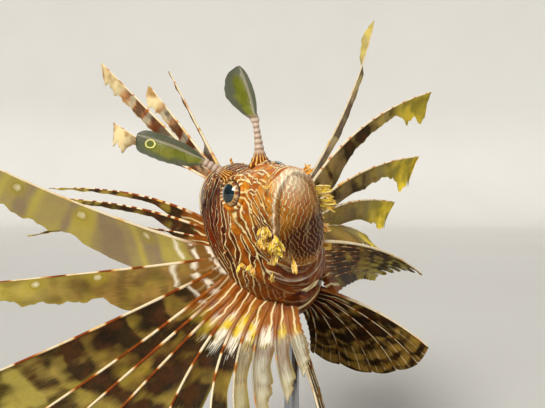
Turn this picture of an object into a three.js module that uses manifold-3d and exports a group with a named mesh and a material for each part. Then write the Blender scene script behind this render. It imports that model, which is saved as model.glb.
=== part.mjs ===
// Life-size model of a subadult red lionfish, swimming, held by a plain display stand.
// Millimetres, +Z up, origin at the middle of the underside of the base plate.
import * as THREE from 'three';
import { mergeVertices } from 'three/addons/utils/BufferGeometryUtils.js';
import Module from 'manifold-3d';

const wasm = await Module();
wasm.setup();

// Driving dimensions
const HEAD_LENGTH = 66;
const GAP = 0.3;
const YAW = 10.3;
const PITCH = -16.9;
const ROLL = -30;
const LIP_HEIGHT = 136;
const LIP_FORWARD = 96;
const BASE_LENGTH = 150;
const BASE_WIDTH = 110;
const BASE_THICKNESS = 8;
const BASE_CORNER = 14;
const BASE_CHAMFER = 1;
const ROD_RADIUS = 3;
const ROD_STATION = 1.34;
const ROD_SINK = 8;
const COLLAR_RADIUS = 6.5;
const COLLAR_HEIGHT = 4;
const EYE_RADIUS = 4.7;
const EYE_CENTRE = [0.106, 0.40, 0.122];
// Brow ridge over each eye, from its front to the root of the tentacle: side, back, up
const BROW_FRONT = [0.066, 0.33, 0.155];
const BROW_PEAK = [0.084, 0.46, 0.222];
const BROW_HEIGHT = 1.9;
const BROW_PEAK_HEIGHT = 1.5;
const BROW_WIDTH = 0.045;
// Half thickness of a fin's membrane and of its fleshy base, and where along a ray the base ends
const SHEET_HALF = 0.27;
const FLESH_HALF = 1.2;
const FLESH_END = 0.16;
// A ray's free membrane fills at most this share of the room up to the next ray
const FREE_SHARE = 0.86;
// Fins start this deep in the body, as a share of its section
const FIN_SINK = 0.84;

// Body outline: distance behind the lip, top, bottom and half width, all in head lengths
const PROFILE = [
  [0.00, 0.005, -0.005, 0.005],
  [0.03, 0.050, -0.050, 0.062],
  [0.09, 0.085, -0.120, 0.105],
  [0.18, 0.130, -0.205, 0.138],
  [0.28, 0.166, -0.275, 0.158],
  [0.37, 0.194, -0.312, 0.172],
  [0.46, 0.218, -0.318, 0.186],
  [0.58, 0.265, -0.375, 0.208],
  [0.72, 0.345, -0.435, 0.238],
  [0.88, 0.412, -0.480, 0.258],
  [1.15, 0.465, -0.490, 0.240],
  [1.50, 0.450, -0.425, 0.205],
  [1.90, 0.350, -0.310, 0.150],
  [2.25, 0.235, -0.205, 0.092],
  [2.50, 0.180, -0.165, 0.058],
  [2.62, 0.185, -0.175, 0.040],
];
// The trunk is this much slimmer than the head where the gill cover lies over it
const TRUNK_SLIM = 0.9;
// The body swings to its left behind this station, by this sideways curve per head length squared
const BEND_START = 0.8;
const BEND_CURVE = 0.12;
// Rear edge of the head: at the nape, at the middle of the gill cover and at the throat
const HEAD_EDGE = { nape: 0.80, cover: 0.93, throat: 0.60 };
// The head closes on this point inside the trunk
const HEAD_REAR = { back: 0.74, height: -0.03 };
const MOUTH_CORNER = { back: 0.36, height: -0.225 };
const MOUTH_CUT = { halfThick: 0.28, depth: 1.2, reach: 2.6, steps: 22 };
// Trunk and tail stalk, from where they start inside the piece before them
const TRUNK = { from: 0.55, to: 1.96, rings: 14, sides: 28 };
const TAIL = { from: 1.96 + GAP / HEAD_LENGTH, to: 2.62, rings: 6, sides: 24 };
const HEAD_RINGS = 26;
const HEAD_SIDES = 44;
const EYE_SIDES = 16;
// Round parts of the body's section: how square it is at the sides and at top and bottom
const SQUARE_SIDE = 0.86;
const SQUARE_TOP = 0.95;
const CROWN = { above: 0.12, below: 0.10 };

const FINISHES = {
  skin: { color: 0xb5622c, roughness: 0.5, metalness: 0 },
  fin: { color: 0xa98a5a, roughness: 0.55, metalness: 0 },
  darkFin: { color: 0x3b2a1c, roughness: 0.55, metalness: 0 },
  tentacle: { color: 0x9aa283, roughness: 0.6, metalness: 0 },
  eye: { color: 0x16333a, roughness: 0.15, metalness: 0 },
  stand: { color: 0x222224, roughness: 0.4, metalness: 0 },
  rod: { color: 0xb9bcc0, roughness: 0.3, metalness: 0.9 },
};

const radians = THREE.MathUtils.degToRad;
const lerp = THREE.MathUtils.lerp;
const bump = (distance, width) => Math.exp(-((distance / width) ** 2));

// Value at x on a smooth curve through rows of [x, value...]
function curveRow(rows, x) {
  const last = rows.length - 1;
  let i = 0;
  while (i < last - 1 && x > rows[i + 1][0]) i += 1;
  const before = rows[Math.max(i - 1, 0)];
  const a = rows[i];
  const b = rows[i + 1];
  const after = rows[Math.min(i + 2, last)];
  const span = b[0] - a[0];
  const t = THREE.MathUtils.clamp((x - a[0]) / span, 0, 1);
  return a.slice(1).map((value, column) => {
    const c = column + 1;
    const slopeA = (b[c] - before[c]) / (b[0] - before[0]) * span;
    const slopeB = (after[c] - a[c]) / (after[0] - a[0]) * span;
    const t2 = t * t;
    const t3 = t2 * t;
    return (2 * t3 - 3 * t2 + 1) * a[c] + (t3 - 2 * t2 + t) * slopeA
      + (3 * t2 - 2 * t3) * b[c] + (t3 - t2) * slopeB;
  });
}

// Value at t between 0 and 1 on straight lines through evenly or freely spaced knots
function knotValue(knots, t) {
  let i = 0;
  while (i < knots.length - 2 && t > knots[i + 1][0]) i += 1;
  const [ta, a] = knots[i];
  const [tb, b] = knots[i + 1];
  return lerp(a, b, THREE.MathUtils.clamp((t - ta) / (tb - ta), 0, 1));
}

function bendAt(back) {
  return BEND_CURVE * Math.max(back - BEND_START, 0) ** 2;
}

// Solids from triangles
function geometryOf(triangles) {
  const geometry = new THREE.BufferGeometry();
  geometry.setAttribute('position', new THREE.Float32BufferAttribute(triangles, 3));
  return mergeVertices(geometry, 1e-4);
}

function solidOf(geometry) {
  const bare = geometry.clone();
  bare.deleteAttribute('normal');
  bare.deleteAttribute('uv');
  const merged = mergeVertices(bare, 1e-4);
  return new wasm.Manifold(new wasm.Mesh({
    numProp: 3,
    vertProperties: new Float32Array(merged.attributes.position.array),
    triVerts: new Uint32Array(merged.index.array),
  }));
}

// Only the largest closed surface of a solid, as a geometry
function largestOf(solid) {
  const pieces = solid.decompose();
  const sized = pieces.map((piece) => [Math.abs(piece.volume()), piece]);
  sized.sort((a, b) => b[0] - a[0]);
  return sized[0][1];
}

function geometryFrom(solid) {
  const mesh = largestOf(solid).getMesh();
  const geometry = new THREE.BufferGeometry();
  const positions = [];
  for (let i = 0; i < mesh.vertProperties.length; i += mesh.numProp) {
    positions.push(...mesh.vertProperties.slice(i, i + 3));
  }
  geometry.setAttribute('position', new THREE.Float32BufferAttribute(positions, 3));
  geometry.setIndex(Array.from(mesh.triVerts));
  geometry.computeVertexNormals();
  return geometry;
}

// The same closed surface moved outwards by a distance
function inflated(geometry, distance) {
  const grown = geometry.clone();
  grown.computeVertexNormals();
  const place = grown.attributes.position;
  const normal = grown.attributes.normal;
  for (let i = 0; i < place.count; i += 1) {
    place.setXYZ(
      i,
      place.getX(i) + normal.getX(i) * distance,
      place.getY(i) + normal.getY(i) * distance,
      place.getZ(i) + normal.getZ(i) * distance,
    );
  }
  return grown;
}

function joined(solids) {
  return solids.reduce((all, next) => all.add(next));
}

// Closed surface through rings of points, closed by a fan to a point at each end
function loft(rings, startTip, endTip) {
  const triangles = [];
  const count = rings[0].length;
  const push = (...points) => points.forEach((p) => triangles.push(p.x, p.y, p.z));
  for (let j = 0; j < count; j += 1) {
    const k = (j + 1) % count;
    push(startTip, rings[0][k], rings[0][j]);
    for (let i = 0; i < rings.length - 1; i += 1) {
      push(rings[i][j], rings[i][k], rings[i + 1][j]);
      push(rings[i][k], rings[i + 1][k], rings[i + 1][j]);
    }
    const end = rings[rings.length - 1];
    push(endTip, end[j], end[k]);
  }
  return geometryOf(triangles);
}

// Point of the plain body at a distance behind the lip and an angle from the top to the left
function bodyPoint(back, angle, slim = 1) {
  const [top, bottom, half] = curveRow(PROFILE, back);
  const up = Math.cos(angle);
  const side = Math.sin(angle);
  const crown = (up > 0 ? CROWN.above : CROWN.below) * up * up;
  const x = Math.sign(side) * Math.abs(side) ** SQUARE_SIDE * half * (1 - crown) * slim;
  const z = (top + bottom) / 2 + Math.sign(up) * Math.abs(up) ** SQUARE_TOP * (top - bottom) / 2 * slim;
  return new THREE.Vector3(x + bendAt(back), back, z).multiplyScalar(HEAD_LENGTH);
}

// Point of the plain body at a distance behind the lip and a height, on the side given by its sign
function bodySide(back, height, side) {
  let above = 0;
  let below = Math.PI;
  for (let step = 0; step < 24; step += 1) {
    const angle = (above + below) / 2;
    if (bodyPoint(back, angle).z > height * HEAD_LENGTH) above = angle;
    else below = angle;
  }
  return bodyPoint(back, side * above);
}

// Height of the mouth line at a distance behind the lip
function mouthHeight(back) {
  return MOUTH_CORNER.height * (back / MOUTH_CORNER.back) ** 0.92;
}

// Distance from a point to the line between two points, in two or three coordinates
function segmentDistance(point, from, to) {
  const along = to.map((value, i) => value - from[i]);
  const reach = point.map((value, i) => value - from[i]);
  const dot = (a, b) => a.reduce((sum, value, i) => sum + value * b[i], 0);
  const t = THREE.MathUtils.clamp(dot(reach, along) / (dot(along, along) + 1e-9), 0, 1);
  return Math.hypot(...reach.map((value, i) => value - t * along[i]));
}

// Ridges of the head bones in the side view, with their half width and height in millimetres
const HEAD_RIDGES = [
  { from: [0.05, 0.015], to: [0.37, -0.165], width: 0.045, height: 1.1 },
  { from: [0.44, 0.035], to: [0.70, -0.02], width: 0.03, height: 0.9 },
  { from: [0.66, 0.10], to: [0.60, -0.26], width: 0.035, height: 0.7 },
  { from: [0.28, 0.15], to: [0.40, 0.19], width: 0.035, height: 0.6 },
  { from: [0.60, 0.32], to: [0.78, 0.40], width: 0.035, height: 0.8 },
];

// Heights in millimetres and widths in head lengths of the folds round eye, mouth and throat
const ORBIT = { radius: 0.085, width: 0.028, height: 1.1 };
const LOWER_LIP = { below: 0.035, width: 0.022, height: 1.0 };
const UPPER_LIP = { below: -0.03, width: 0.02, height: 0.5 };
const CROWN_GROOVE = { back: 0.42, halfWide: 0.05, halfLong: 0.14, depth: 1.2 };
const JAW_FOLD = { back: 0.475, width: 0.03, depth: 2.2 };

// How far the skin stands out from the plain body on the head, in millimetres
function headRelief(point) {
  const x = Math.abs(point.x) / HEAD_LENGTH;
  const y = point.y / HEAD_LENGTH;
  const z = point.z / HEAD_LENGTH;
  const side = THREE.MathUtils.smoothstep(x, 0.03, 0.09);
  let height = 0;
  for (const ridge of HEAD_RIDGES) {
    height += side * ridge.height * bump(segmentDistance([y, z], ridge.from, ridge.to), ridge.width);
  }
  const eyeDistance = Math.hypot(y - EYE_CENTRE[1], z - EYE_CENTRE[2]);
  height += side * ORBIT.height * bump(eyeDistance - ORBIT.radius, ORBIT.width);
  height += BROW_HEIGHT * bump(segmentDistance([x, y, z], BROW_FRONT, BROW_PEAK), BROW_WIDTH);
  height += BROW_PEAK_HEIGHT * bump(segmentDistance([x, y, z], BROW_PEAK, BROW_PEAK), BROW_WIDTH);
  const mouthFade = THREE.MathUtils.smoothstep(MOUTH_CORNER.back + 0.05 - y, 0, 0.06);
  const below = mouthHeight(y) - z;
  for (const lip of [LOWER_LIP, UPPER_LIP]) {
    height += mouthFade * lip.height * bump(below - lip.below, lip.width);
  }
  const groove = bump(x, CROWN_GROOVE.halfWide) * bump(y - CROWN_GROOVE.back, CROWN_GROOVE.halfLong);
  if (z > 0) height -= CROWN_GROOVE.depth * groove;
  const underside = THREE.MathUtils.smoothstep(-z, 0.20, 0.27);
  return height - JAW_FOLD.depth * underside * bump(y - JAW_FOLD.back, JAW_FOLD.width);
}

// Distance behind the lip of the head's rear edge, at an angle from the top
function headEdge(angle) {
  const up = Math.cos(angle);
  const end = up > 0 ? HEAD_EDGE.nape : HEAD_EDGE.throat;
  return lerp(HEAD_EDGE.cover, end, Math.abs(up) ** 1.6);
}

// The head's surface, or the same surface grown outwards and rearwards by a distance
function headShell(grow = 0) {
  const rings = [];
  for (let i = 0; i < HEAD_RINGS; i += 1) {
    const along = ((i + 1) / HEAD_RINGS) ** 1.15;
    const ring = [];
    for (let j = 0; j < HEAD_SIDES; j += 1) {
      const angle = (2 * Math.PI * j) / HEAD_SIDES;
      const back = along * (headEdge(angle) + 1.5 * grow / HEAD_LENGTH);
      const point = bodyPoint(back, angle);
      const ahead = bodyPoint(back, angle + 0.02).sub(point);
      const behind = bodyPoint(back + 0.004, angle).sub(point);
      const normal = ahead.cross(behind).normalize();
      ring.push(point.addScaledVector(normal, headRelief(point) + grow));
    }
    rings.push(ring);
  }
  const rear = new THREE.Vector3(0, HEAD_REAR.back, HEAD_REAR.height).multiplyScalar(HEAD_LENGTH);
  rear.y += 1.5 * grow;
  return loft(rings, new THREE.Vector3(0, -grow, 0), rear);
}

// A length of the body behind the head, slimmer where it starts under the gill covers
function bodyLength({ from, to, rings, sides }, slimFrom) {
  const shells = [];
  for (let i = 0; i <= rings; i += 1) {
    const back = lerp(from, to, i / rings);
    const slim = lerp(slimFrom, 1, THREE.MathUtils.smoothstep(back, 0.9, 1.35));
    const ring = [];
    for (let j = 0; j < sides; j += 1) {
      ring.push(bodyPoint(back, (2 * Math.PI * j) / sides, slim));
    }
    shells.push(ring);
  }
  const middle = (ring) => ring.reduce((sum, p) => sum.add(p), new THREE.Vector3()).divideScalar(sides);
  return loft(shells, middle(shells[0]), middle(shells[rings]));
}

// Direction of a ray: angle up from sideways, then angle forwards, on the side given by its sign
function rayDirection(rise, forward, side) {
  const r = radians(rise);
  const s = radians(forward);
  return new THREE.Vector3(side * Math.cos(s) * Math.cos(r), -Math.sin(s), Math.cos(s) * Math.sin(r));
}

// Points along a path that turns evenly from one direction to another
function turningPath(root, start, end, length, stops) {
  const steps = 24;
  const points = [root.clone()];
  const place = root.clone();
  for (let i = 0; i < steps; i += 1) {
    const direction = start.clone().lerp(end, (i + 0.5) / steps).normalize();
    place.addScaledVector(direction, length / steps);
    points.push(place.clone());
  }
  return stops.map((t) => {
    const at = t * steps;
    const i = Math.min(Math.floor(at), steps - 1);
    return points[i].clone().lerp(points[i + 1], at - i);
  });
}

// A fin of rays with membrane behind each ray: joined to the next ray up to a row, free beyond it
function finGeometry(fin) {
  const { stops, joinRowsAt, rays } = fin;
  const last = rays.length - 1;
  const rows = stops.length;
  const frames = rays.map((ray, k) => stops.map((t, j) => {
    const here = ray.points[j];
    const tangent = ray.points[Math.min(j + 1, rows - 1)].clone().sub(ray.points[Math.max(j - 1, 0)]);
    tangent.normalize();
    const towards = k < last
      ? rays[k + 1].points[j].clone().sub(here)
      : here.clone().sub(rays[k - 1].points[j]);
    const across = towards.addScaledVector(tangent, -towards.dot(tangent));
    const room = across.length();
    across.normalize();
    const normal = tangent.clone().cross(across);
    return { here, across, normal, room };
  }));
  const section = (k, j) => {
    const { here, across, normal, room } = frames[k][j];
    const shaft = lerp(rays[k].rootRadius, rays[k].tipRadius, stops[j]);
    const thinning = THREE.MathUtils.smoothstep(stops[j], 0, FLESH_END);
    const flesh = lerp(fin.fleshHalf ?? FLESH_HALF, SHEET_HALF, thinning);
    const widest = Math.max(FREE_SHARE * room - 2 * shaft - GAP, 0.15);
    const width = Math.min(rays[k].width * fin.widthAt(stops[j]), k < last ? widest : Infinity);
    const point = (shift, half) => ({
      front: here.clone().addScaledVector(across, shift).addScaledVector(normal, half),
      rear: here.clone().addScaledVector(across, shift).addScaledVector(normal, -half),
    });
    return {
      lead: point(-shaft, flesh),
      crest: point(0, Math.max(shaft, flesh)),
      foot: point(shaft, flesh),
      trail: point(shaft + width, flesh),
    };
  };
  const triangles = [];
  const push = (...points) => points.forEach((p) => triangles.push(p.x, p.y, p.z));
  const wall = (a, b) => {
    push(a.front, a.rear, b.front);
    push(b.front, a.rear, b.rear);
  };
  const cell = (a, b, c, d) => {
    push(a.front, c.front, b.front);
    push(b.front, c.front, d.front);
    push(a.rear, b.rear, c.rear);
    push(b.rear, d.rear, c.rear);
  };
  for (let k = 0; k <= last; k += 1) {
    const columns = stops.map((t, j) => {
      const own = section(k, j);
      const shared = j <= joinRowsAt(k) && k < last;
      return [own.lead, own.crest, own.foot, shared ? section(k + 1, j).lead : own.trail];
    });
    for (let j = 0; j < rows - 1; j += 1) {
      for (let c = 0; c < 3; c += 1) {
        cell(columns[j][c], columns[j][c + 1], columns[j + 1][c], columns[j + 1][c + 1]);
      }
      if (k === 0 || j >= joinRowsAt(k - 1)) wall(columns[j][0], columns[j + 1][0]);
      if (k === last || j >= joinRowsAt(k)) wall(columns[j + 1][3], columns[j][3]);
    }
    for (let c = 0; c < 3; c += 1) {
      wall(columns[0][c + 1], columns[0][c]);
      wall(columns[rows - 1][c], columns[rows - 1][c + 1]);
    }
  }
  return geometryOf(triangles);
}

// Rays of a paired fin from its knots, on the side given by its sign
function pairedFin(shape, side) {
  const rays = [];
  for (let k = 0; k < shape.rays; k += 1) {
    const u = k / (shape.rays - 1);
    const at = (knots) => knotValue(knots, u);
    const [beside, behind, above] = curveRow(shape.roots, u);
    const root = new THREE.Vector3(side * beside + bendAt(behind), behind, above);
    const start = rayDirection(at(shape.riseRoot), at(shape.forwardRoot), side);
    const end = rayDirection(at(shape.riseTip), at(shape.forwardTip), side);
    const length = at(shape.length);
    rays.push({
      points: turningPath(root, start, end, length, shape.stops).map((p) => p.multiplyScalar(HEAD_LENGTH)),
      rootRadius: shape.rootRadius,
      tipRadius: shape.tipRadius,
      width: at(shape.width) * HEAD_LENGTH,
    });
  }
  return finGeometry({ ...shape, rays });
}

const PECTORAL_STOPS = [0, 0.08, 0.2, 0.36, 0.56, 0.78, 1];
const ribbonWidth = (t) => knotValue([[0, 0.6], [0.36, 0.8], [0.56, 1], [0.78, 0.95], [1, 0.15]], t);

const RIGHT_PECTORAL = {
  rays: 15,
  stops: PECTORAL_STOPS,
  joinRowsAt: (k) => (k === 2 ? 2 : 3),
  widthAt: ribbonWidth,
  rootRadius: 0.95,
  tipRadius: 0.34,
  roots: [[0, 0.19, 1.00, 0.22], [0.21, 0.22, 0.95, 0.02], [1, 0.12, 0.74, -0.42]],
  riseRoot: [
    [0, 72], [0.14, 60], [0.21, 48], [0.29, 23], [0.36, 2],
    [0.43, -9], [0.71, -14], [0.86, -24], [1, -57],
  ],
  riseTip: [
    [0, 38], [0.07, 40], [0.14, 22], [0.21, 59], [0.29, 23],
    [0.36, 7], [0.57, -18], [0.71, -70], [1, -80],
  ],
  forwardRoot: [[0, -41], [0.14, -38], [0.21, 0], [0.29, -4], [0.36, 8], [0.5, 12], [1, 11]],
  forwardTip: [[0, -30], [0.14, -22], [0.21, 15], [0.29, 7], [0.36, 18], [0.64, 18], [1, 11]],
  length: [
    [0, 1.46], [0.14, 1.36], [0.21, 1.6], [0.29, 1.3],
    [0.36, 1.5], [0.57, 1.3], [0.71, 0.92], [1, 0.34],
  ],
  width: [[0, 0.05], [0.14, 0.09], [0.21, 0.17], [0.5, 0.16], [0.7, 0.12], [1, 0.06]],
};

const LEFT_PECTORAL = {
  ...RIGHT_PECTORAL,
  joinRowsAt: (k) => (k === 2 ? 1 : 3),
  riseRoot: [[0, 30], [0.14, 24], [0.21, 23], [0.29, 14], [0.36, 2], [0.5, -1], [0.57, -19], [1, -14]],
  riseTip: [
    [0, 20], [0.14, 18], [0.21, 44], [0.29, 8], [0.36, -1],
    [0.43, -20], [0.5, -35], [0.57, -51], [1, -43],
  ],
  forwardRoot: [
    [0, -62], [0.14, -58], [0.21, -11], [0.29, -12],
    [0.36, -22], [0.5, -40], [0.57, -31], [1, -46],
  ],
  forwardTip: [
    [0, -66], [0.14, -62], [0.21, -7], [0.29, -13],
    [0.36, -22], [0.5, -43], [0.57, -40], [1, -48],
  ],
  length: [
    [0, 1.2], [0.14, 1.3], [0.21, 1.74], [0.29, 1.62], [0.36, 1.36],
    [0.5, 0.91], [0.57, 1.36], [0.86, 0.97], [1, 0.7],
  ],
  width: [
    [0, 0.05], [0.14, 0.05], [0.21, 0.08], [0.29, 0.12],
    [0.36, 0.13], [0.5, 0.14], [0.57, 0.06], [1, 0.05],
  ],
};

const PELVIC_STOPS = [0, 0.12, 0.36, 0.66, 0.9, 1];
const LEFT_PELVIC = {
  rays: 6,
  stops: PELVIC_STOPS,
  joinRowsAt: () => 4,
  widthAt: (t) => 1 - 0.5 * t,
  rootRadius: 1.0,
  tipRadius: 0.34,
  roots: [[0, 0.12, 0.87, -0.44], [1, 0.06, 1.06, -0.46]],
  riseRoot: [[0, -48], [1, -66]],
  riseTip: [[0, -71], [1, -100]],
  forwardRoot: [[0, -1], [0.4, -12], [1, -46]],
  forwardTip: [[0, -12], [0.4, -34], [1, -60]],
  length: [[0, 0.72], [0.2, 0.82], [0.6, 0.82], [1, 0.55]],
  width: [[0, 0.05], [1, 0.05]],
};
const RIGHT_PELVIC = {
  ...LEFT_PELVIC,
  riseRoot: [[0, -82], [1, -100]],
  riseTip: [[0, -64], [1, -84]],
  forwardRoot: [[0, 5], [0.4, -15], [1, -40]],
  forwardTip: [[0, -1], [0.4, -21], [1, -52]],
  length: [[0, 0.82], [0.4, 0.82], [1, 0.55]],
};

// Rays of an unpaired fin along the back or belly line, from its knots
function medianFin(shape) {
  const rays = [];
  for (let k = 0; k < shape.rays; k += 1) {
    const u = k / (shape.rays - 1);
    const at = (knots) => knotValue(knots, u);
    const back = lerp(shape.from, shape.to, u);
    const root = bodyPoint(back, shape.angle, FIN_SINK).divideScalar(HEAD_LENGTH);
    const up = shape.angle === 0 ? 1 : -1;
    const lean = (degrees, tilt) => new THREE.Vector3(
      -Math.sin(radians(tilt)),
      Math.cos(radians(tilt)) * Math.sin(radians(degrees)),
      up * Math.cos(radians(tilt)) * Math.cos(radians(degrees)),
    );
    const start = lean(at(shape.leanRoot), at(shape.tilt));
    const end = lean(at(shape.leanTip), at(shape.tilt));
    rays.push({
      points: turningPath(root, start, end, at(shape.length), shape.stops)
        .map((p) => p.multiplyScalar(HEAD_LENGTH)),
      rootRadius: shape.rootRadius,
      tipRadius: shape.tipRadius,
      width: at(shape.width) * HEAD_LENGTH,
    });
  }
  return finGeometry({ ...shape, rays });
}

const SPINY_DORSAL = {
  rays: 13,
  from: 0.86,
  to: 1.80,
  angle: 0,
  stops: [0, 0.12, 0.26, 0.5, 0.78, 1],
  joinRowsAt: () => 2,
  fleshHalf: 0.9,
  widthAt: (t) => knotValue([[0, 1], [0.78, 0.9], [1, 0.1]], t),
  rootRadius: 1.0,
  tipRadius: 0.28,
  leanRoot: [[0, -1], [0.08, 13], [0.17, 14], [0.25, 36], [0.34, 56], [0.5, 64], [1, 66]],
  leanTip: [[0, -6], [0.08, 16], [0.17, 11], [0.25, 28], [0.34, 60], [0.5, 70], [1, 72]],
  tilt: [[0, -6], [0.08, 0], [0.17, 9], [0.25, 14], [0.34, 4], [1, 0]],
  length: [[0, 0.61], [0.08, 0.79], [0.17, 1.15], [0.25, 1.12], [0.5, 0.98], [0.8, 0.75], [1, 0.5]],
  width: [[0, 0.03], [0.1, 0.06], [0.7, 0.06], [1, 0.05]],
};
const SOFT_DORSAL = {
  rays: 10,
  from: 2.00,
  to: 2.38,
  angle: 0,
  stops: [0, 0.2, 0.5, 0.8, 1],
  joinRowsAt: () => 3,
  fleshHalf: 0.8,
  widthAt: () => 1,
  rootRadius: 0.7,
  tipRadius: 0.3,
  leanRoot: [[0, 32], [1, 58]],
  leanTip: [[0, 50], [1, 74]],
  tilt: [[0, 0], [1, 0]],
  length: [[0, 0.58], [0.3, 0.68], [1, 0.46]],
  width: [[0, 0.03], [1, 0.03]],
};
const ANAL_FIN = {
  ...SOFT_DORSAL,
  rays: 10,
  from: 1.72,
  to: 2.28,
  angle: Math.PI,
  leanRoot: [[0, 24], [1, 52]],
  leanTip: [[0, 36], [1, 70]],
  length: [[0, 0.3], [0.22, 0.46], [0.5, 0.66], [1, 0.48]],
};

const TAIL_FIN = {
  rays: 12,
  back: 2.54,
  height: 0.01,
  rootReach: 0.13,
  rootFan: 30,
  tipFan: 18,
  middleLength: 0.9,
  edgeShorter: 0.12,
  width: 0.03,
  stops: [0, 0.15, 0.4, 0.7, 0.9, 1],
  joinRowsAt: () => 4,
  fleshHalf: 0.8,
  widthAt: () => 1,
  rootRadius: 0.7,
  tipRadius: 0.3,
};

// Rays of the tail fin, fanned up and down from the end of the tail stalk
function caudalFin(shape) {
  const swing = 2 * BEND_CURVE * (shape.back - BEND_START);
  const aim = (degrees) => {
    const level = Math.cos(radians(degrees));
    return new THREE.Vector3(swing * level, level, Math.sin(radians(degrees))).normalize();
  };
  const rays = [];
  for (let k = 0; k < shape.rays; k += 1) {
    const u = (k / (shape.rays - 1)) * 2 - 1;
    const root = new THREE.Vector3(bendAt(shape.back), shape.back, shape.height + shape.rootReach * u);
    const length = shape.middleLength - shape.edgeShorter * u * u;
    rays.push({
      points: turningPath(root, aim(shape.rootFan * u), aim(shape.tipFan * u), length, shape.stops)
        .map((p) => p.multiplyScalar(HEAD_LENGTH)),
      rootRadius: shape.rootRadius,
      tipRadius: shape.tipRadius,
      width: shape.width * HEAD_LENGTH,
    });
  }
  return finGeometry({ ...shape, rays });
}

// Tentacle over an eye, in millimetres: half width and half depth along it, and its rings
const TENTACLE = {
  length: 0.5,
  steps: 18,
  sides: 10,
  rise: { right: [62, 52], left: [80, 66] },
  forward: [4, -8],
  halfWidth: [[0, 2.2], [0.12, 1.2], [0.4, 0.9], [0.47, 1.3], [0.6, 3.6], [0.75, 4.1], [0.9, 3.1], [1, 0.6]],
  halfDepth: [[0, 2.0], [0.12, 1.15], [0.4, 0.8], [0.55, 0.5], [1, 0.3]],
  stalkEnd: 0.45,
  ringHeight: 0.14,
};

// A ringed stalk that opens into a leaf facing forwards
function tentacle(side) {
  const { steps, sides, stalkEnd, ringHeight } = TENTACLE;
  const stops = Array.from({ length: steps + 1 }, (_, i) => i / steps);
  const [rootRise, tipRise] = side > 0 ? TENTACLE.rise.left : TENTACLE.rise.right;
  const root = new THREE.Vector3(side * BROW_PEAK[0], BROW_PEAK[1], BROW_PEAK[2]);
  const start = rayDirection(rootRise, TENTACLE.forward[0], side);
  const end = rayDirection(tipRise, TENTACLE.forward[1], side);
  const points = turningPath(root, start, end, TENTACLE.length, stops)
    .map((p) => p.multiplyScalar(HEAD_LENGTH));
  const ahead = new THREE.Vector3(0, -1, 0);
  const rings = points.map((point, i) => {
    const along = points[Math.min(i + 1, steps)].clone().sub(points[Math.max(i - 1, 0)]).normalize();
    const across = along.clone().cross(ahead).normalize();
    const depth = across.clone().cross(along);
    const bead = stops[i] < stalkEnd ? ringHeight * (i % 2 === 0 ? 1 : -1) : 0;
    const halfWide = knotValue(TENTACLE.halfWidth, stops[i]) + bead;
    const halfDeep = knotValue(TENTACLE.halfDepth, stops[i]) + bead;
    return Array.from({ length: sides }, (_, j) => {
      const angle = (2 * Math.PI * j) / sides;
      return point.clone()
        .addScaledVector(across, Math.cos(angle) * halfWide)
        .addScaledVector(depth, -Math.sin(angle) * halfDeep);
    });
  });
  return loft(rings, points[0], points[steps]);
}

// A flat tapering flap of skin from a root, in a direction, for the fringes of the head
function flap(root, direction, wide, length, grow = 0) {
  const ahead = new THREE.Vector3(0, -1, 0);
  const across = direction.clone().cross(ahead).normalize();
  const depth = across.clone().cross(direction).normalize();
  const ring = (t, halfWide, halfDeep) => [0, 1, 2, 3].map((j) => {
    const angle = (Math.PI * j) / 2;
    return root.clone()
      .addScaledVector(direction, t * length)
      .addScaledVector(across, Math.cos(angle) * halfWide)
      .addScaledVector(depth, -Math.sin(angle) * halfDeep);
  });
  const rings = [ring(0, wide * 0.35 + grow, 0.5 + grow), ring(0.6, wide * 0.5 + grow, 0.4 + grow)];
  return loft(rings, root.clone(), root.clone().addScaledVector(direction, length + 2 * grow));
}

// Ragged tufts of skin: place beside, behind and above the lip, count of flaps, reach
const TUFTS = [
  { at: [0.148, 0.27, -0.06], aim: [-20, 10], count: 5, reach: 6.5, wide: 2.4, spread: 80 },
  { at: [0.083, 0.065, 0.012], aim: [50, 20], count: 3, reach: 3.2, wide: 1.2, spread: 60 },
  { at: [0.185, 0.55, -0.24], aim: [-50, 30], count: 3, reach: 4.2, wide: 1.8, spread: 60 },
  { at: [0.165, 0.47, -0.28], aim: [-60, 30], count: 2, reach: 4.0, wide: 1.8, spread: 40 },
];

const TUFT_SINK = 1.6;

function tufts(side, grow = 0) {
  const flaps = [];
  for (const tuft of TUFTS) {
    for (let i = 0; i < tuft.count; i += 1) {
      const fan = tuft.count > 1 ? i / (tuft.count - 1) - 0.5 : 0;
      const direction = rayDirection(tuft.aim[0] + fan * tuft.spread, tuft.aim[1], side);
      const [x, y, z] = tuft.at;
      const root = new THREE.Vector3(side * x, y, z).multiplyScalar(HEAD_LENGTH);
      root.addScaledVector(direction, -TUFT_SINK);
      flaps.push(solidOf(flap(root, direction, tuft.wide, tuft.reach + TUFT_SINK, grow)));
    }
  }
  return joined(flaps);
}

// Middle of an eye
function eyeCentre(side) {
  return new THREE.Vector3(side * EYE_CENTRE[0], EYE_CENTRE[1], EYE_CENTRE[2]).multiplyScalar(HEAD_LENGTH);
}

function ball(centre, radius, sides) {
  const geometry = new THREE.SphereGeometry(radius, sides, sides / 2);
  geometry.translate(centre.x, centre.y, centre.z);
  return geometry;
}

// Fleshy lid: a ring that stands round the eye
const LID = { halfWide: 0.8, halfDeep: 0.9, clear: 0.35, out: 1.4, corners: 6, sides: 24 };
const EYE_AIM = { ahead: 0.22, up: 0.12 };

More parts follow.
